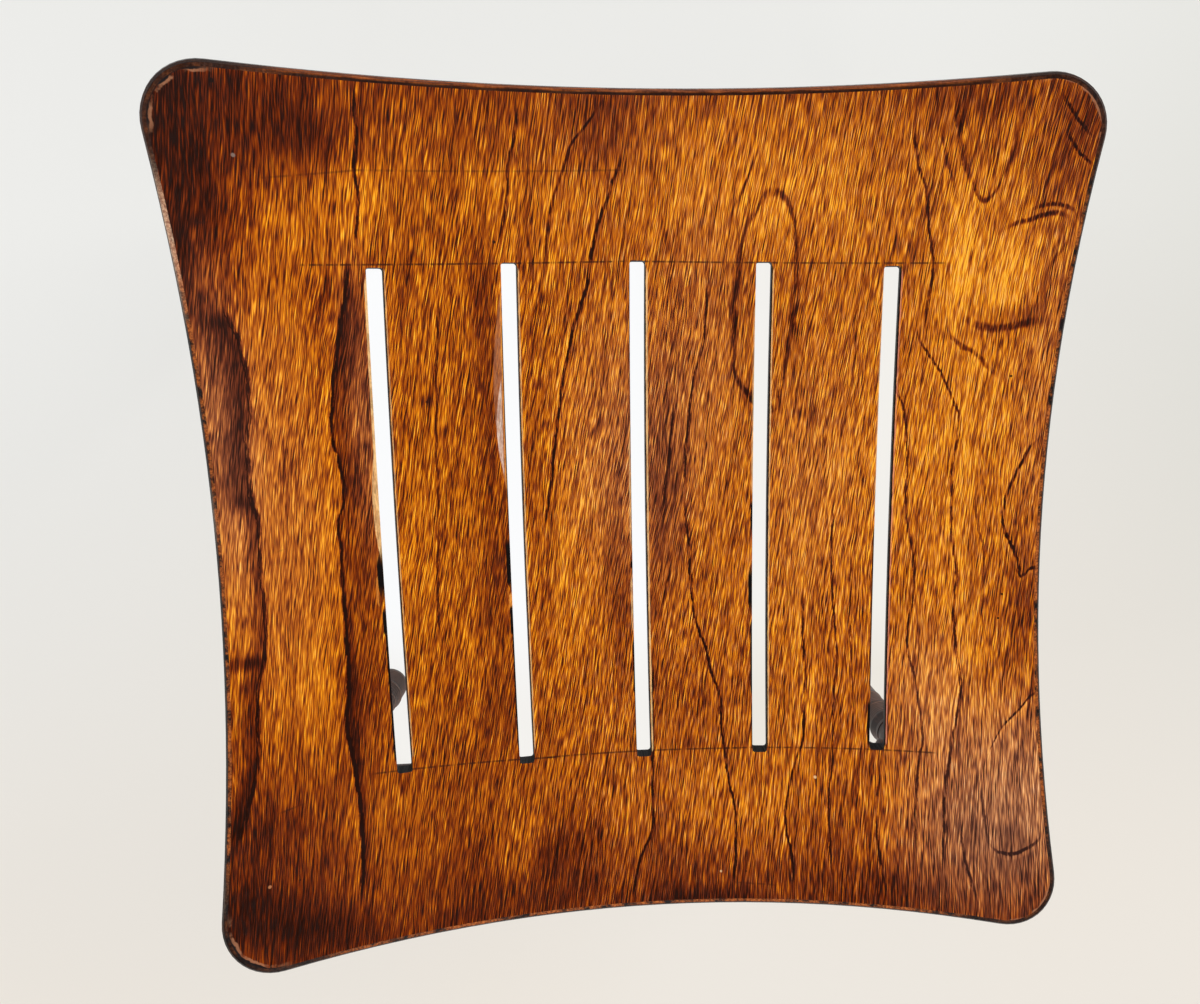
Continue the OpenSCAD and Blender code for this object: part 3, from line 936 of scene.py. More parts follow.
WEARS = tuple(
    Wear(*row)
    for row in (
        (0, -1, 270, 480, 1.3, CREAM, 0.0, 8.0, False, 0.9),
        (0, -1, 440, 568, 3.2, CREAM, 0.0, 16.0, True, 1.0),
        (0, -1, 540, 611, 3.2, SOOT, 0.0, 14.0, False, 1.0),
        (0, -1, 566, 616, 4.2, HONEY, 3.0, 8.0, False, 0.5),
        (0, -1, 606, 640, 1.9, SOOT, 0.0, 4.0),
        (0, -1, 630, 766, 1.2, SOOT, 0.0, 4.0),
        (1, -1, 284, 496, 5.6, BARE, 0.5, 10.0, True, 1.0),
        (1, -1, 368, 486, 4.6, CHALK, 1.6, 10.0, True, 0.8),
        (1, -1, 280, 500, 1.1, HONEY, 0.4, 10.0, False, 0.85),
        (1, -1, 310, 545, 0.6, SOOT, 0.0, 10.0, False, 0.9),
        (1, -1, 535, 592, 2.3, SOOT, 0.0, 6.0),
        (1, -1, 592, 612, 1.7, HONEY, 0.0, 2.0, False, 0.8),
        (1, -1, 605, 636, 1.5, SOOT, 0.0, 2.0),
        (1, -1, 630, 752, 0.9, SOOT, 0.0, 4.0),
        (2, -1, 262, 560, 0.5, SOOT, 0.0, 4.0, False, 0.5),
        (2, -1, 420, 560, 1.2, CREAM, 0.3, 16.0, False, 0.55),
        (2, -1, 559, 569, 1.2, SOOT, 0.0, 1.5),
        (2, -1, 566, 640, 1.3, CREAM, 0.3, 10.0, False, 0.6),
        (2, -1, 638, 696, 1.0, SOOT, 0.0, 3.0),
        (2, -1, 690, 752, 0.6, SOOT, 0.0, 3.0, False, 0.8),
        (3, -1, 300, 500, 0.9, CREAM, 0.0, 8.0, False, 0.5),
        (3, -1, 498, 534, 1.1, SOOT, 0.0, 4.0),
        (3, -1, 534, 620, 3.0, HONEY, 1.6, 10.0, True, 0.6),
        (3, -1, 556, 622, 2.2, SOOT, 0.0, 12.0),
        (3, -1, 616, 700, 1.1, SOOT, 0.0, 6.0),
        (3, -1, 700, 752, 0.7, SOOT, 0.0, 4.0),
        (4, -1, 262, 520, 0.7, CREAM, 0.0, 8.0, False, 0.4),
        (4, -1, 520, 700, 0.8, SOOT, 0.0, 8.0, False, 0.9),
        (4, -1, 696, 752, 1.5, SOOT, 0.0, 6.0),
        (0, 1, 264, 764, 0.45, SOOT, 0.0, 3.0, False, 0.8),
        (1, 1, 264, 756, 0.45, SOOT, 0.0, 3.0, False, 0.8),
        (2, 1, 262, 756, 0.5, SOOT, 0.0, 3.0, False, 0.9),
        (3, 1, 262, 750, 0.8, SOOT, 0.0, 3.0),
        (4, 1, 262, 750, 0.9, SOOT, 0.0, 3.0),
        (0, 1, 266, 764, 1.0, CREAM, 0.45, 3.0, False, 0.6),
        (1, 1, 266, 754, 1.1, CREAM, 0.45, 3.0, False, 0.7),
        (2, 1, 266, 754, 1.4, CREAM, 0.5, 3.0, False, 0.8),
        (3, 1, 266, 748, 1.5, CREAM, 0.8, 3.0, False, 0.7),
        (4, 1, 266, 748, 1.6, tint(222, 140, 112), 0.9, 3.0, False, 0.65),
    )
)

# Pale worn places on the upper arris of the seat
RUBS = tuple(
    Patch(*row)
    for row in (
        (152, 230, 30, 52, 0.85), (170, 300, 12, 26, 0.5), (196, 520, 14, 40, 0.9),
        (1088, 352, 14, 38, 0.8), (640, 98, 60, 16, 0.35), (860, 92, 60, 14, 0.5),
        (206, 905, 14, 24, 0.5),
    )
)

# Pencil lines and scratches: first and last point in pixels, and strength
SCRIBED = (
    ((297, 265), (640, 261), 0.85),
    ((620, 261), (947, 263), 0.8),
    ((372, 774), (560, 757), 0.8),
    ((540, 758), (740, 748), 0.75),
    ((720, 748), (938, 753), 0.75),
    ((258, 178), (360, 170), 0.5),
    ((350, 170), (625, 170), 0.45),
    ((193, 223), (210, 222), 0.7),
    ((278, 814), (306, 803), 0.6),
    ((275, 553), (285, 549), 0.5),
    ((733, 882), (777, 885), 0.5),
)

# Specks: column and row in pixels, radius in millimetres, and colour
SPECKS = (
    (815, 777, 1.1, tint(214, 170, 120)),
    (721, 871, 0.8, tint(200, 160, 115)),
    (746, 871, 0.7, tint(30, 14, 10)),
    (1002, 594, 0.8, tint(20, 12, 10)),
    (998, 618, 0.8, tint(20, 12, 10)),
    (494, 242, 1.0, tint(40, 22, 14)),
    (233, 155, 1.1, tint(120, 100, 90)),
    (211, 80, 1.3, tint(26, 12, 8)),
    (427, 402, 0.9, tint(40, 14, 8)),
    (1011, 376, 0.8, tint(30, 14, 8)),
    (270, 887, 1.0, tint(170, 110, 70)),
    (300, 880, 0.6, tint(30, 14, 8)),
)

# Colours of the lines and of the rim's paint, seam, arris and scuffs
INK = tint(48, 20, 12)
PAINT = tint(27, 20, 20)
SEAM = tint(34, 15, 9)
ARRIS = tint(176, 92, 42)
SCUFFED = tint(158, 106, 76)

# Paint of the edge by grit, and the bare plies at its back by strip
EDGE_PAINT = ((0.3, tint(12, 9, 9)), (0.55, tint(24, 18, 17)), (0.8, tint(58, 44, 38)))
EDGE_PLIES = (
    (0.32, tint(34, 14, 8)),
    (0.46, tint(92, 42, 15)),
    (0.56, tint(142, 70, 26)),
    (0.7, tint(190, 110, 50)),
)
EDGE_BROWNS = (tint(52, 26, 14), tint(112, 62, 30))
EDGE_ORANGES = (tint(92, 38, 14), tint(190, 104, 44))
EDGE_PALES = (tint(150, 104, 84), tint(228, 194, 160))
BACK_SEAM = tint(22, 10, 7)
SLOT_WALLS = (tint(12, 10, 10), tint(104, 80, 58))
UNDERSIDE = ((0.3, tint(66, 36, 20)), (0.5, tint(116, 68, 36)), (0.7, tint(150, 96, 54)))

# Stain from the darkest to the lightest tone
STAIN = (
    (0.0, tint(30, 8, 2)),
    (0.10, tint(60, 17, 2)),
    (0.28, tint(108, 37, 3)),
    (0.45, tint(150, 67, 4)),
    (0.59, tint(186, 97, 5)),
    (0.72, tint(214, 122, 8)),
    (0.86, tint(236, 149, 16)),
    (1.0, tint(250, 178, 42)),
)

# The same stain under a painted sheen, paler and greyer where reflected light lies on the varnish
SHEENED_STAIN = (
    (0.0, tint(50, 26, 20)),
    (0.18, tint(88, 50, 38)),
    (0.45, tint(146, 92, 62)),
    (0.66, tint(188, 126, 84)),
    (0.86, tint(222, 160, 110)),
    (1.0, tint(240, 190, 142)),
)

# Tone of the veneer down the picture, by pixel row, and across it, by pixel column
TONE_BY_ROW = (
    (94, 0.34), (130, 0.40), (170, 0.46), (200, 0.50), (320, 0.48), (440, 0.50), (560, 0.50),
    (640, 0.48), (700, 0.45), (800, 0.42), (850, 0.34), (890, 0.25), (940, 0.18),
)
TONE_BY_COLUMN = (
    (150, 0.36), (210, 0.44), (290, 0.54), (340, 0.50), (400, 0.46), (490, 0.45), (575, 0.50),
    (705, 0.48), (830, 0.52), (940, 0.56), (1000, 0.57), (1060, 0.52),
)

# Lean of the grain, and how the lean turns, at places from 0 to 1 across the span
LEAN = (
    (0.032, 0.108), (0.12, 0.166), (0.25, 0.209), (0.33, 0.217), (0.415, 0.212),
    (0.5, 0.197), (0.59, 0.175), (0.676, 0.150), (0.76, 0.125), (0.95, 0.087),
)
LEAN_TURN = (
    (0.032, 0.60), (0.12, 0.44), (0.174, 0.37), (0.25, 0.288), (0.33, 0.229),
    (0.415, 0.192), (0.5, 0.171), (0.676, 0.160), (0.84, 0.139), (0.95, 0.096),
)


@dataclass(frozen=True)
class Layer:
    """One layer of noise on the seat: size of its marks in millimetres, and its weight."""

    wide: float
    long: float
    seed: float
    detail: float = 1.0
    rough: float = 0.5
    weight: float = 1.0

    def at(self, graph: Graph, across: Value, along: Value) -> Value:
        """Draws the layer at a place across and along the grain."""
        spot = graph.vector(across / self.wide, along / self.long, self.seed)
        return graph.noise(spot, 1.0, self.detail, self.rough)


# Bends of the grain, wide and small
SWAY = Layer(70, 150, 0.0, 2.0, weight=9)
DRIFT = Layer(18, 70, 5.0, 2.0, weight=3)

# Grain, from the finest marks to the widest clouds of tone
FINE = Layer(0.66, 5.5, 1.0, weight=1.7)
FLECKS = Layer(0.6, 13, 12.0, weight=1.3)
BROAD = Layer(1.2, 60, 2.0, weight=0.95)
STREAK = Layer(4.5, 90, 4.0, 3.0, 0.6, 0.40)
CLOUD = Layer(40, 90, 6.0, 3.0, 0.55, 0.26)

# Unevenness of the figure lines, and the dashes that break them
WIGGLE = Layer(9, 9, 7.0, 3.0, 0.7, 2.6)
DASH = Layer(1.1, 9, 8.0)

# Painted glints, pale streaks of reflected light on the varnish, and the varnish's rubbed places
GLINT = Layer(0.6, 5, 14.0)
RUBBED = Layer(60, 60, 3.0, 3.0, 0.6)

# Gaps of the scribed lines, chips and fibres along the slots
SKIPS = Layer(3, 40, 11.0, 2.0, 0.6)
CHIPS = Layer(4, 9, 32.0, 3.0, 0.7)
FIBRES = Layer(0.7, 6, 33.0, 2.0, 0.6)
RAGGED = Layer(1.6, 5, 31.0, 3.0, 0.6)

# Uneven paint of the rim, and strips of the plies at its back
UNEVEN = Layer(8, 8, 51.0, 3.0, 0.6)
PLY_STRIP = Layer(16, 0.7, 41.0, 3.0, 0.65)

# Grain of the underside
UNDER_LONG = Layer(1.1, 18, 21.0, 3.0, 0.6)
UNDER_WIDE = Layer(26, 90, 22.0, 3.0, 0.6)


@dataclass(frozen=True)
class SeatFinish:
    """Varnished face veneer, blackened edges and a plain underside."""

    view: PictureView
    slot_pitch: float = 66.5
    slot_half: float = 134.0
    slot_width: float = 8.0
    past_slots: Point = (10.0, 16.0)
    past_ends: Point = (3.0, 7.0)
    face_range: Point = (0.94, 0.985)
    under_range: Point = (-0.985, -0.9)
    first_column: float = 385.0
    column_step: float = 128.0
    varnish: float = 0.30
    pore_rough: float = 0.16
    worn_rough: float = 0.18
    under_rough: float = 0.28
    coat: float = 0.04
    coat_rough: float = 0.25
    shine: float = 0.13
    relief: float = 0.00010
    figure_depth: float = 0.78
    stagger: float = 8.3
    calm_left: float = 0.88
    corner_radius: float = 26.0
    corner_middle: tuple[float, float, float] = (0.18745, 0.18745, 0.35555)
    corner_from: float = 388.0
    corner_full: float = 397.0
    paint_width: float = 1.9
    paint_drift: float = 1.3
    side_lean: float = 0.0489
    side_reach: float = 235.07
    ply: float = 1.5

    def material(self) -> bpy.types.Material:
        """Builds the whole finish of the seat panel.

        Returns:
            The material.
        """
        made, graph, shader = new_material("seat_finish")
        place = graph.here()
        x, y, z = (part * MM for part in graph.split(place))
        arc = self._arc(graph, x, z)
        facing = self._facing(graph, place)
        face = facing.above(*self.face_range)
        under = facing.below(*self.under_range)
        side = 1 - face - under
        sides = (self.slot_pitch * 2 + past for past in self.past_slots)
        ends = (self.slot_half + past for past in self.past_ends)
        in_slot = abs(arc).below(*sides) * abs(y).below(*ends)
        tone, glint, pores = self._tone(graph, x, y)
        colour = self._veneer_colour(graph, x, y, tone, glint)
        colour = self._marks(graph, x, y, colour)
        colour = self._slot_wear(graph, arc, x, y, colour)
        corner = (abs(x) + abs(y)).above(self.corner_from, self.corner_full)
        colour = self._rim(graph, place, x, y, corner, colour)
        edge, edge_rough = self._edge_colour(graph, place, (x, y, z), in_slot)
        back = self._under_colour(graph, x, y)
        colour = graph.blend(side, colour, edge)
        colour = graph.blend(under, colour, back)
        graph.feed(shader.inputs["Base Color"], colour)
        worn = RUBBED.at(graph, x, y)
        rough = self.varnish + pores * self.pore_rough + (worn - 0.5) * self.worn_rough
        rough = rough + side * edge_rough + under * self.under_rough
        graph.feed(shader.inputs["Roughness"], rough)
        coat = face * self.coat * (1 - pores * 0.5)
        graph.feed(shader.inputs["Coat Weight"], coat)
        shader.inputs["Coat Roughness"].default_value = self.coat_rough
        shader.inputs["Specular IOR Level"].default_value = self.shine
        height = pores * -0.6 + worn * 0.4
        graph.feed(shader.inputs["Normal"], graph.bump(height, self.relief, 0.45))
        return made

    def _arc(self, graph: Graph, x: Value, z: Value) -> Value:
        """Place across the seat, measured along the dish in millimetres."""
        turn = graph.math("ARCTAN2", x, self.view.dish_top() * MM - z)
        return turn * (self.view.dish_radius * MM)

    def _facing(self, graph: Graph, place: Value) -> Value:
        """How far a face looks to the centre of the dish: 1 on top, -1 below."""
        centre = (0.0, 0.0, self.view.dish_top())
        inward = graph.arrow("NORMALIZE", graph.arrow("SUBTRACT", centre, place))
        geometry = graph.make("ShaderNodeNewGeometry")
        return graph.arrow("DOT_PRODUCT", inward, graph.out(geometry, "True Normal"))

    def _tone(self, graph: Graph, x: Value, y: Value) -> tuple[Value, Value, Value]:
        """Lightness of the veneer, the painted glints of light on its varnish and its dark pores."""
        sway = SWAY.at(graph, x, y) - 0.5
        drift = DRIFT.at(graph, x, y) - 0.5
        u = x - self._lean(graph, x, y) + sway * SWAY.weight + drift * DRIFT.weight
        skew = y + u * self.stagger
        fine = FINE.at(graph, u, skew)
        flecks = FLECKS.at(graph, u, skew)
        broad = BROAD.at(graph, u, skew)
        streak = STREAK.at(graph, u, y)
        cloud = CLOUD.at(graph, x, y)
        wiggle = WIGGLE.at(graph, x, y) - 0.5
        dash = DASH.at(graph, x, y)
        dash = graph.between(dash, 0.40, 0.52, 0.35, 1.0)
        lines = Figure(self.view, FIGURE).mask(
            graph, x + wiggle * WIGGLE.weight, y + wiggle * WIGGLE.weight, dash
        )
        rows = graph.curve(y / SPAN + 0.5, self._profile(TONE_BY_ROW, True))
        columns = graph.curve(x / SPAN + 0.5, self._profile(TONE_BY_COLUMN, False))
        level = rows + columns - 0.5
        for blot in BLOTS:
            level = level + self._patch(graph, blot, x, y)
        calm = self.calm_left + x.above(-180, -90) * (1 - self.calm_left)
        level = level + (cloud - 0.5) * CLOUD.weight
        grain = (streak - 0.5) * STREAK.weight + (broad - 0.5) * BROAD.weight
        grain = grain + (fine - 0.5) * FINE.weight + (flecks - 0.5) * FLECKS.weight
        level = level - lines * self.figure_depth
        depth = (level * 1.2 + 0.45).lower(1.0).higher(0.4) * calm
        # Painted glints: pale streaks of reflected light on the varnish
        glint = GLINT.at(graph, u, skew)
        return level + grain * depth, glint.above(0.50, 0.68), (0.52 - fine).above(0.0, 0.14)

    def _lean(self, graph: Graph, x: Value, y: Value) -> Value:
        """How far to the right the grain has run at a place along the seat."""
        lean = graph.curve(x / SPAN + 0.5, LEAN)
        turn = graph.curve(x / SPAN + 0.5, LEAN_TURN)
        return y * lean + y * y * (turn - 0.2) * 0.001

    def _profile(self, marks: tuple[Point, ...], down: bool) -> list[Point]:
        """Turns picture rows or columns with a height each into a curve over the seat."""
        spots = []
        for at, height in marks:
            spot = self.view.seat_point(640, at) if down else self.view.seat_point(at, 500)
            spots.append((min(max(spot[1 if down else 0] / SPAN + 0.5, 0.001), 0.999), height))
        spots.sort()
        return [(0.0, spots[0][1]), *spots, (1.0, spots[-1][1])]

    def _patch(self, graph: Graph, patch: Patch, x: Value, y: Value) -> Value:
        """The patch's share in its middle, 0 outside it."""
        u, v = self.view.seat_point(patch.column, patch.row)
        right, _ = self.view.seat_point(patch.column + patch.wide, patch.row)
        _, low = self.view.seat_point(patch.column, patch.row + patch.tall)
        return SOFT_SPOT.at(graph, x, y, u, v, right - u, v - low) * patch.share

    def _veneer_colour(
        self, graph: Graph, x: Value, y: Value, tone: Value, glint: Value
    ) -> Value:
        """Stained colour of a tone, paled and greyed by a painted sheen and painted glints of reflected
        light on the varnish.
        """
        base = graph.ramp(tone, STAIN)
        # The pale ramp is the stain as it looks under the painted sheen
        pale = graph.ramp(tone, SHEENED_STAIN)
        # Painted sheen: reflected light on the varnish pales and greys the stain, a little on the right,
        # more in the patches and in the glints
        painted_sheen = 0.01 + x.above(-90, 20) * 0.02
        for patch in SHEEN_PATCHES:
            painted_sheen = painted_sheen + self._patch(graph, patch, x, y)
        painted_sheen = painted_sheen + glint * (0.10 + x.above(-100, 0) * 0.26)
        return graph.blend(painted_sheen, base, pale)

    def _marks(self, graph: Graph, x: Value, y: Value, colour: Value) -> Value:
        """Scribed lines and specks."""
        broken = SKIPS.at(graph, x, y)
        broken = broken.above(0.3, 0.55)
        for first, last, strength in SCRIBED:
            line = self._scribe(graph, x, y, first, last) * broken * strength
            colour = graph.blend(line, colour, INK)
        for column, row, radius, spot in SPECKS:
            u, v = self.view.seat_point(column, row)
            colour = graph.blend(SPECK.at(graph, x, y, u, v, radius), colour, spot)
        return colour

    def _scribe(
        self, graph: Graph, x: Value, y: Value, first: Point, last: Point
    ) -> Value:
        """A thin scratched line between two points of the picture."""
        (x0, y0), (x1, y1) = self.view.seat_point(*first), self.view.seat_point(*last)
        slope = (y1 - y0) / (x1 - x0)
        return SCRATCH.at(graph, x, y, slope, y0 - x0 * slope, x0, x1)

    def _slot_wear(
        self, graph: Graph, arc: Value, x: Value, y: Value, colour: Value
    ) -> Value:
        """Chips, worn slivers and thin arris lines along the slots."""
        ragged = RAGGED.at(graph, x, y) * 0.5
        broken = CHIPS.at(graph, x, y)
        streaks = FIBRES.at(graph, x, y)
        rubbed = 0.55 + broken.above(0.38, 0.6) * 0.45
        streaked = rubbed * (0.6 + streaks.above(0.4, 0.6) * 0.4)
        gaps: dict[tuple[int, int], Value] = {}
        for wear in WEARS:
            key = (wear.slot, wear.side)
            if key not in gaps:
                offset = (arc - (wear.slot - 2) * self.slot_pitch) * wear.side
                gaps[key] = offset - ragged + (0.25 - self.slot_width / 2)
            column = self.first_column + wear.slot * self.column_step
            _, high = self.view.seat_point(column, wear.first_row)
            _, low = self.view.seat_point(column, wear.last_row)
            shape = WORN_LENS if wear.lens else WORN_STRIP
            mask = shape.at(
                graph, gaps[key], y, low, high, wear.width, wear.start, wear.taper
            )
            mask = mask * wear.strength
            if wear.lens:
                mask = mask * streaked
            elif wear.colour is not SOOT:
                mask = mask * rubbed
            colour = graph.blend(mask, colour, wear.colour)
        return colour

    def _rim(
        self,
        graph: Graph,
        place: Value,
        x: Value,
        y: Value,
        corner: Value,
        colour: Value,
    ) -> Value:
        """Black paint of the edge that runs over on the face at the corners."""
        folded = graph.arrow("ABSOLUTE", place)
        reach = graph.arrow("DISTANCE", folded, self.corner_middle) * MM
        across, along, up = graph.split(folded)
        sink = (self.view.dish_top() - up) * self.side_lean
        inside = self.side_reach - (across.higher(along) + sink) * MM
        uneven = UNEVEN.at(graph, x, y)
        rubbed = uneven.above(0.40, 0.56)
        arris = inside.below(0.7, 1.2) * (1 - corner) * y.below(150, 175)
        colour = graph.blend(arris * rubbed * 0.7, colour, ARRIS)
        colour = graph.blend(inside.below(0.2, 0.6) * (1 - corner), colour, SEAM)
        inner = self.corner_radius - self.paint_width - x.below(-50, 50) * self.paint_drift
        inner = inner - (uneven - 0.5) * 4
        pale = graph.between(reach, inner - 1.3, inner - 0.7, 0.0, 1.0) * corner
        colour = graph.blend(pale * rubbed * 0.75, colour, SCUFFED)
        black = graph.between(reach, inner, inner + 0.5, 0.0, 1.0) * corner
        return graph.blend(black, colour, PAINT)

    def _edge_colour(
        self, graph: Graph, place: Value, spot: tuple[Value, Value, Value], in_slot: Value
    ) -> tuple[Value, Value]:
        """Blackened plywood edge with its plies, worn pale along the upper arris.

        Args:
            graph: The material's nodes.
            place: Where, in metres.
            spot: The same in millimetres, as three numbers.
            in_slot: 1 on the walls of the slots.

        Returns:
            The colour, and what it adds to the roughness.
        """
        x, y, z = spot
        centre = (0.0, 0.0, self.view.dish_top())
        depth = graph.arrow("DISTANCE", place, centre) * MM - self.view.dish_radius * MM
        sheet = math.tau / self.ply
        rub = graph.noise(graph.vector(x / 7, y / 7, z / 7), 1.0, 4.0, 0.65)
        grit = graph.noise(graph.vector(x / 1.2, y / 1.2, z / 1.2), 1.0, 3.0, 0.7)
        strip = PLY_STRIP.at(graph, x, depth)
        ply = graph.math("SINE", depth * sheet + rub * 2.2).above(-0.1, 0.9)
        black = graph.ramp(grit, EDGE_PAINT)
        brown = graph.blend(grit, *EDGE_BROWNS)
        edge = graph.blend(rub.above(0.5, 0.66) * (ply * 0.7), black, brown)
        orange = graph.blend(grit.above(0.3, 0.7), *EDGE_ORANGES)
        sides = 1 - (abs(x) + abs(y)).above(356, 384) * 0.9
        lip = depth.below(0.45, 0.75)
        edge = graph.blend(lip * rub.above(0.36, 0.56) * 0.9 * sides, edge, orange)
        pale: Value | None = None
        for patch in RUBS:
            share = self._patch(graph, patch, x, y)
            pale = share if pale is None else pale.higher(share)
        worn = graph.blend(grit.above(0.35, 0.7), *EDGE_PALES)
        edge = graph.blend(pale * depth.below(1.2, 2.0), edge, worn)
        back = y.above(166, 184) * sides
        amber = graph.ramp(strip * 0.75 + grit * 0.25, EDGE_PLIES)
        edge = graph.blend(back * depth.below(2.6, 4.2) * 0.95, edge, amber)
        edge = graph.blend(back * depth.below(0.3, 0.7) * 0.9, edge, BACK_SEAM)
        wall = graph.blend(grit.above(0.62, 0.8) * 0.4, *SLOT_WALLS)
        edge = graph.blend(in_slot, edge, wall)
        return edge, in_slot * 0.25 + grit * 0.1

    def _under_colour(self, graph: Graph, x: Value, y: Value) -> Value:
        """Thinly stained underside with a plainer grain."""
        long = UNDER_LONG.at(graph, x, y)
        wide = UNDER_WIDE.at(graph, x, y)
        shade = long * 0.55 + wide * 0.45
        return graph.ramp(shade, UNDERSIDE)


def new_material(name: str) -> tuple[bpy.types.Material, Graph, bpy.types.Node]:
    """Makes an empty material.

    Args:
        name: Its name.

    Returns:
        The material, its graph and its surface shader.
    """
    made = bpy.data.materials.new(name)
    made.use_nodes = True
    made.node_tree.nodes.clear()
    graph = Graph(made.node_tree)
    shader = graph.make("ShaderNodeBsdfPrincipled")
    graph.make(
        "ShaderNodeOutputMaterial", None, {"Surface": shader.outputs["BSDF"]}
    )
    return made, graph, shader


# Dark stain by shade, the colour of its rubbed places, and the painted highlight on its ring ridges
DARK_STAIN = (
    (0.3, tint(24, 15, 13)),
    (0.48, tint(46, 29, 24)),
    (0.62, tint(72, 46, 36)),
    (0.8, tint(104, 68, 50)),
)
RUBBED_BROWN = tint(118, 78, 54)
RIDGE_HIGHLIGHT = tint(150, 120, 104)


@dataclass(frozen=True)
class DarkWoodFinish:
    """Dark stained and waxed wood, with its grain along one axis."""

    name: str
    grain: Axis
    ringed: bool = False
    shine: float = 0.25
    highlight_share: float = 0.6
    rings: tuple[tuple[float, float, int], ...] = (
        (5.0, 24.0, 6),
        (27.7, 40.8, 4),
        (43.2, 60.5, 5),
        (91.6, 113.8, 7),
        (116.2, 134.7, 6),
    )

    def material(self) -> bpy.types.Material:
        """Builds the finish.

        Returns:
            The material.
        """
        made, graph, shader = new_material(self.name)
        place = graph.here()
        parts = [part * MM for part in graph.split(place)]
        stretch = [1.0, 1.0, 1.0]
        stretch[self.grain.value] = 0.06
        laid = graph.vector(*(part * s for part, s in zip(parts, stretch)))
        long = graph.noise(laid, 0.9, 3.0, 0.6)
        wide = graph.noise(laid, 0.16, 3.0, 0.55, 0.4)
        rub = graph.noise(place, 90.0, 4.0, 0.65)
        dust = graph.noise(place, 700.0, 2.0, 0.6)
        shade = long * 0.4 + wide * 0.6
        colour = graph.ramp(shade, DARK_STAIN)
        colour = graph.blend(rub.above(0.58, 0.74) * 0.4, colour, RUBBED_BROWN)
        if self.ringed:
            # Ringed pieces get painted highlights on the ridges of their rings
            lines = self._ring_highlights(graph, parts[2])
            colour = graph.blend(lines * self.highlight_share, colour, RIDGE_HIGHLIGHT)
        graph.feed(shader.inputs["Base Color"], colour)
        graph.feed(shader.inputs["Roughness"], 0.36 + (rub - 0.5) * 0.3 + long * 0.08)
        shader.inputs["Specular IOR Level"].default_value = self.shine
        height = long * 0.7 + dust * 0.3
        graph.feed(shader.inputs["Normal"], graph.bump(height, 0.0002, 0.5))
        return made

    def _ring_highlights(self, graph: Graph, z: Value) -> Value:
        """Painted highlights: pale lines on the fine ridges between the grooves, where the ring edges
        catch the light.
        """
        total: Value | None = None
        for low, high, count in self.rings:
            pitch = (high - low) / count
            step = graph.math("FRACT", (z - low) / pitch + 0.5)
            line = abs(step - 0.5).below(0.03, 0.14)
            run = z.above(low - 1, low) * z.below(high, high + 1)
            mark = line * run
            total = mark if total is None else total.higher(mark)
        return total


# Bare wood by shade
PALE_WOOD = ((0.3, tint(112, 74, 40)), (0.5, tint(168, 124, 74)), (0.7, tint(202, 164, 112)))


@dataclass(frozen=True)
class PlainWoodFinish:
    """Bare pale wood of the corner blocks, a little dusty."""

    name: str = "block_wood"
    slant: float = 0.7071

    def material(self) -> bpy.types.Material:
        """Builds the finish.

        Returns:
            The material.
        """
        made, graph, shader = new_material(self.name)
        place = graph.here()
        x, y, z = (part * MM for part in graph.split(place))
        along = (x + y) * self.slant
        across = (x - y) * self.slant
        rings = graph.noise(graph.vector(across / 3, along / 40, z / 5), 1.0, 3.0, 0.6, 0.5)
        fine = graph.noise(graph.vector(across / 0.5, along / 9, z / 0.6), 1.0, 2.0, 0.6)
        colour = graph.ramp(rings * 0.7 + fine * 0.3, PALE_WOOD)
        dirt = graph.noise(place, 60.0, 4.0, 0.6)
        colour = graph.blend(dirt.above(0.5, 0.75) * 0.5, colour, tint(84, 60, 42))
        graph.feed(shader.inputs["Base Color"], colour)
        graph.feed(shader.inputs["Roughness"], 0.66 + (fine - 0.5) * 0.2)
        graph.feed(shader.inputs["Normal"], graph.bump(fine, 0.0002, 0.5))
        return made


@dataclass(frozen=True)
class SteelFinish:
    """Dulled steel of the screws, with spots of rust."""

    name: str = "screw_steel"

    def material(self) -> bpy.types.Material:
        """Builds the finish.

        Returns:
            The material.
        """
        made, graph, shader = new_material(self.name)
        place = graph.here()
        stain = graph.noise(place, 500.0, 4.0, 0.65)
        spot = stain.above(0.52, 0.68)
        colour = graph.blend(spot, tint(168, 164, 156), tint(104, 66, 42))
        graph.feed(shader.inputs["Base Color"], colour)
        graph.feed(shader.inputs["Metallic"], 1 - spot * 0.7)
        graph.feed(shader.inputs["Roughness"], 0.34 + spot * 0.35)
        graph.feed(shader.inputs["Normal"], graph.bump(stain, 0.0001, 0.4))
        return made


def dress(names: list[str], material: bpy.types.Material) -> int:
    """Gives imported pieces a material.

    Args:
        names: The pieces.
        material: Their material.

    Returns:
        How many were dressed.
    """
    for name in names:
        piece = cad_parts[name]
        piece.data.materials.clear()
        piece.data.materials.append(material)
    return len(names)


CORNERS = ("front_left", "front_right", "back_left", "back_right")


@dataclass
class Seat:
    """The dished panel of the seat."""

    view: PictureView
    node: str = "seat_panel"

    def build(self) -> int:
        """Finishes the panel and returns the number of pieces."""
        return dress([self.node], SeatFinish(self.view).material())


@dataclass
class Legs:
    """The four turned legs and the pegs that hold the rails in them."""

    corners: tuple[str, ...] = CORNERS

    def build(self) -> int:
        """Finishes the legs and pegs and returns the number of pieces."""
        wood = DarkWoodFinish("leg_wood", Axis.Z, True).material()
        peg = DarkWoodFinish("peg_wood", Axis.X).material()
        pegs = [f"peg_{corner}_{side}" for corner in self.corners for side in "ab"]
        return dress([f"leg_{corner}" for corner in self.corners], wood) + dress(pegs, peg)


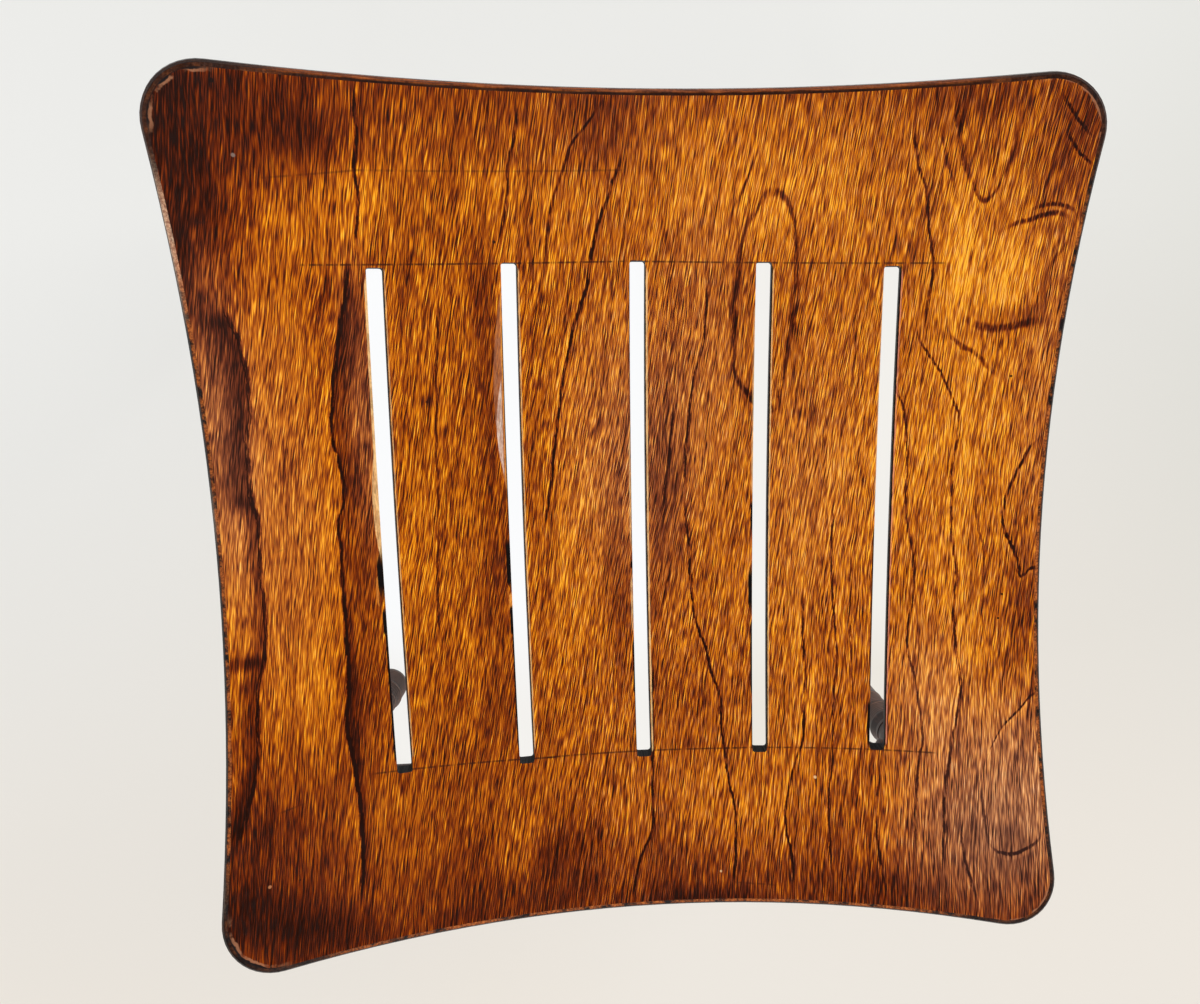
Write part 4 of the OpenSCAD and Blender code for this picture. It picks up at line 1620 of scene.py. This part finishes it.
@dataclass
class Lattice:
    """Rails, stretchers and the struts between them on the four sides."""

    across: tuple[str, ...] = ("front", "back")
    along: tuple[str, ...] = ("left", "right")

    def build(self) -> int:
        """Finishes rails, stretchers and struts and returns the number of pieces."""
        count = 0
        for axis, sides in ((Axis.X, self.across), (Axis.Y, self.along)):
            bars = [f"{kind}_{side}" for kind in ("rail", "stretcher") for side in sides]
            name = f"rail_wood_{axis.name.lower()}"
            count += dress(bars, DarkWoodFinish(name, axis).material())
        struts = [
            f"strut_{side}_{lean}_{end}"
            for side in self.across + self.along
            for lean in ("upright", "leaning")
            for end in "ab"
        ]
        return count + dress(struts, DarkWoodFinish("strut_wood", Axis.Z).material())


@dataclass
class Fixings:
    """Corner blocks and the screws through them."""

    corners: tuple[str, ...] = CORNERS

    def build(self) -> int:
        """Finishes blocks and screws and returns the number of pieces."""
        count = dress([f"block_{c}" for c in self.corners], PlainWoodFinish().material())
        return count + dress([f"screw_{c}" for c in self.corners], SteelFinish().material())


# Colours of the floor
COOL_PAPER = tint(232, 232, 229)
WARM_PAPER = tint(233, 225, 214)
DIM_PAPER = tint(212, 212, 206)
GREY_PAPER = tint(224, 224, 222)
# Painted light: the floor under the seat, which the slots show, brighter than the rest, at its left and,
# warmer and dimmer, at its right
LIT_PAPER = (tint(251, 252, 253), tint(237, 232, 222))


@dataclass
class Studio:
    """Pale floor, soft light and plain air around the stool."""

    view: PictureView
    floor_size: float = 24.0
    lit_patch_middle: Point = (0.018, -0.054)
    lit_patch_reach: Point = (0.236, 0.296)
    glow: float = 0.72
    # Extra glow of the painted pool of light under the seat
    glow_below: float = 0.22
    lamps: tuple[tuple[str, tuple[float, float, float], float, float], ...] = (
        ("window", (1.5, 0.9, 1.35), 1.1, 38.0),
        ("wall", (-1.6, 0.2, 1.2), 1.4, 26.0),
        ("near_side", (0.2, -1.7, 1.2), 1.4, 21.0),
    )

    def build(self) -> int:
        """Adds floor, lamps, air and camera and returns the number of lamps."""
        self._floor()
        for name, place, size, power in self.lamps:
            self._lamp(name, Vector(place), size, power)
        self._air()
        self.view.place_camera()
        bpy.context.scene.view_settings.view_transform = "Standard"
        return len(self.lamps)

    def _floor(self) -> None:
        """A wide pale floor with a faint warm and cool drift, and a painted pool of light under the seat.
        """
        half = self.floor_size / 2
        mesh = bpy.data.meshes.new("floor")
        corners = [(-half, -half, 0), (half, -half, 0), (half, half, 0), (-half, half, 0)]
        mesh.from_pydata(corners, [], [(0, 1, 2, 3)])
        floor = bpy.data.objects.new("floor", mesh)
        bpy.context.scene.collection.objects.link(floor)
        made, graph, shader = new_material("pale_paper")
        place = graph.here()
        x, y, _ = graph.split(place)
        drift = graph.noise(place, 1.1, 2.0, 0.5)
        warm = graph.between(y - x * 0.3, -0.5, 0.3, 1.0, 0.0)
        colour = graph.blend(warm * 0.9, COOL_PAPER, WARM_PAPER)
        dim = x.above(0.15, 0.75) * y.above(-0.5, 0.1)
        colour = graph.blend(dim * 0.85, colour, DIM_PAPER)
        colour = graph.blend(drift.above(0.4, 0.7) * 0.25, colour, GREY_PAPER)
        # Painted light: the floor under the seat is made brighter than the rest, and warmer and dimmer
        # towards its right and small y as painted shade
        off_x = (x - self.lit_patch_middle[0]) * (x - self.lit_patch_middle[0])
        off_y = (y - self.lit_patch_middle[1]) * (y - self.lit_patch_middle[1])
        round_square = graph.root(graph.root(off_x * off_x + off_y * off_y))
        below = round_square.below(*self.lit_patch_reach)
        low = y.below(-0.23, -0.12)
        painted_floor_shade = x.above(0.0, 0.16) * 0.6 + low * 0.5
        painted_floor_light = graph.blend(painted_floor_shade, *LIT_PAPER)
        colour = graph.blend(below, colour, painted_floor_light)
        graph.feed(shader.inputs["Base Color"], colour)
        shader.inputs["Roughness"].default_value = 0.9
        shader.inputs["Specular IOR Level"].default_value = 0.1
        # The floor glows for camera, glossy and transmission rays, and glows more in the painted pool of
        # light under the seat
        path = graph.make("ShaderNodeLightPath")
        seen = (
            graph.out(path, "Is Camera Ray")
            .higher(graph.out(path, "Is Glossy Ray"))
            .higher(graph.out(path, "Is Transmission Ray"))
        )
        glow = graph.make("ShaderNodeEmission", None, {"Color": colour, "Strength": 1.0})
        mixed = graph.make(
            "ShaderNodeMixShader",
            None,
            {
                0: seen * (self.glow + below * self.glow_below),
                1: shader.outputs["BSDF"],
                2: glow.outputs["Emission"],
            },
        )
        output = next(n for n in made.node_tree.nodes if n.type == "OUTPUT_MATERIAL")
        graph.feed(output.inputs["Surface"], mixed.outputs["Shader"])
        mesh.materials.append(made)

    def _lamp(self, name: str, place: Vector, size: float, power: float) -> None:
        """Adds one square soft lamp that looks at the seat."""
        data = bpy.data.lights.new(name, "AREA")
        data.size = size
        data.energy = power
        lamp = bpy.data.objects.new(name, data)
        bpy.context.scene.collection.objects.link(lamp)
        lamp.location = place
        aim = Vector((0, 0, self.view.seat_height)) - place
        lamp.rotation_euler = aim.to_track_quat("-Z", "Y").to_euler()

    def _air(self) -> None:
        """Even light from all sides, weaker from straight above."""
        world = bpy.data.worlds.new("air")
        bpy.context.scene.world = world
        world.use_nodes = True
        world.node_tree.nodes.clear()
        graph = Graph(world.node_tree)
        place = graph.out(graph.make("ShaderNodeTexCoord"), "Generated")
        _, _, up = graph.split(place)
        strength = graph.between(up, 0.25, 0.62, 1.0, 0.06)
        glow = graph.make(
            "ShaderNodeBackground", None, {"Color": (1.0, 1.0, 1.0), "Strength": strength}
        )
        graph.make("ShaderNodeOutputWorld", None, {"Surface": glow.outputs["Background"]})


def main() -> None:
    """Builds the scene in order and reports each piece."""
    logging.basicConfig(level=logging.INFO, format="%(message)s")
    view = PictureView()
    for part in (Seat(view), Legs(), Lattice(), Fixings(), Studio(view)):
        log.info("%s: %d", type(part).__name__, part.build())


if __name__ == "__main__":
    main()
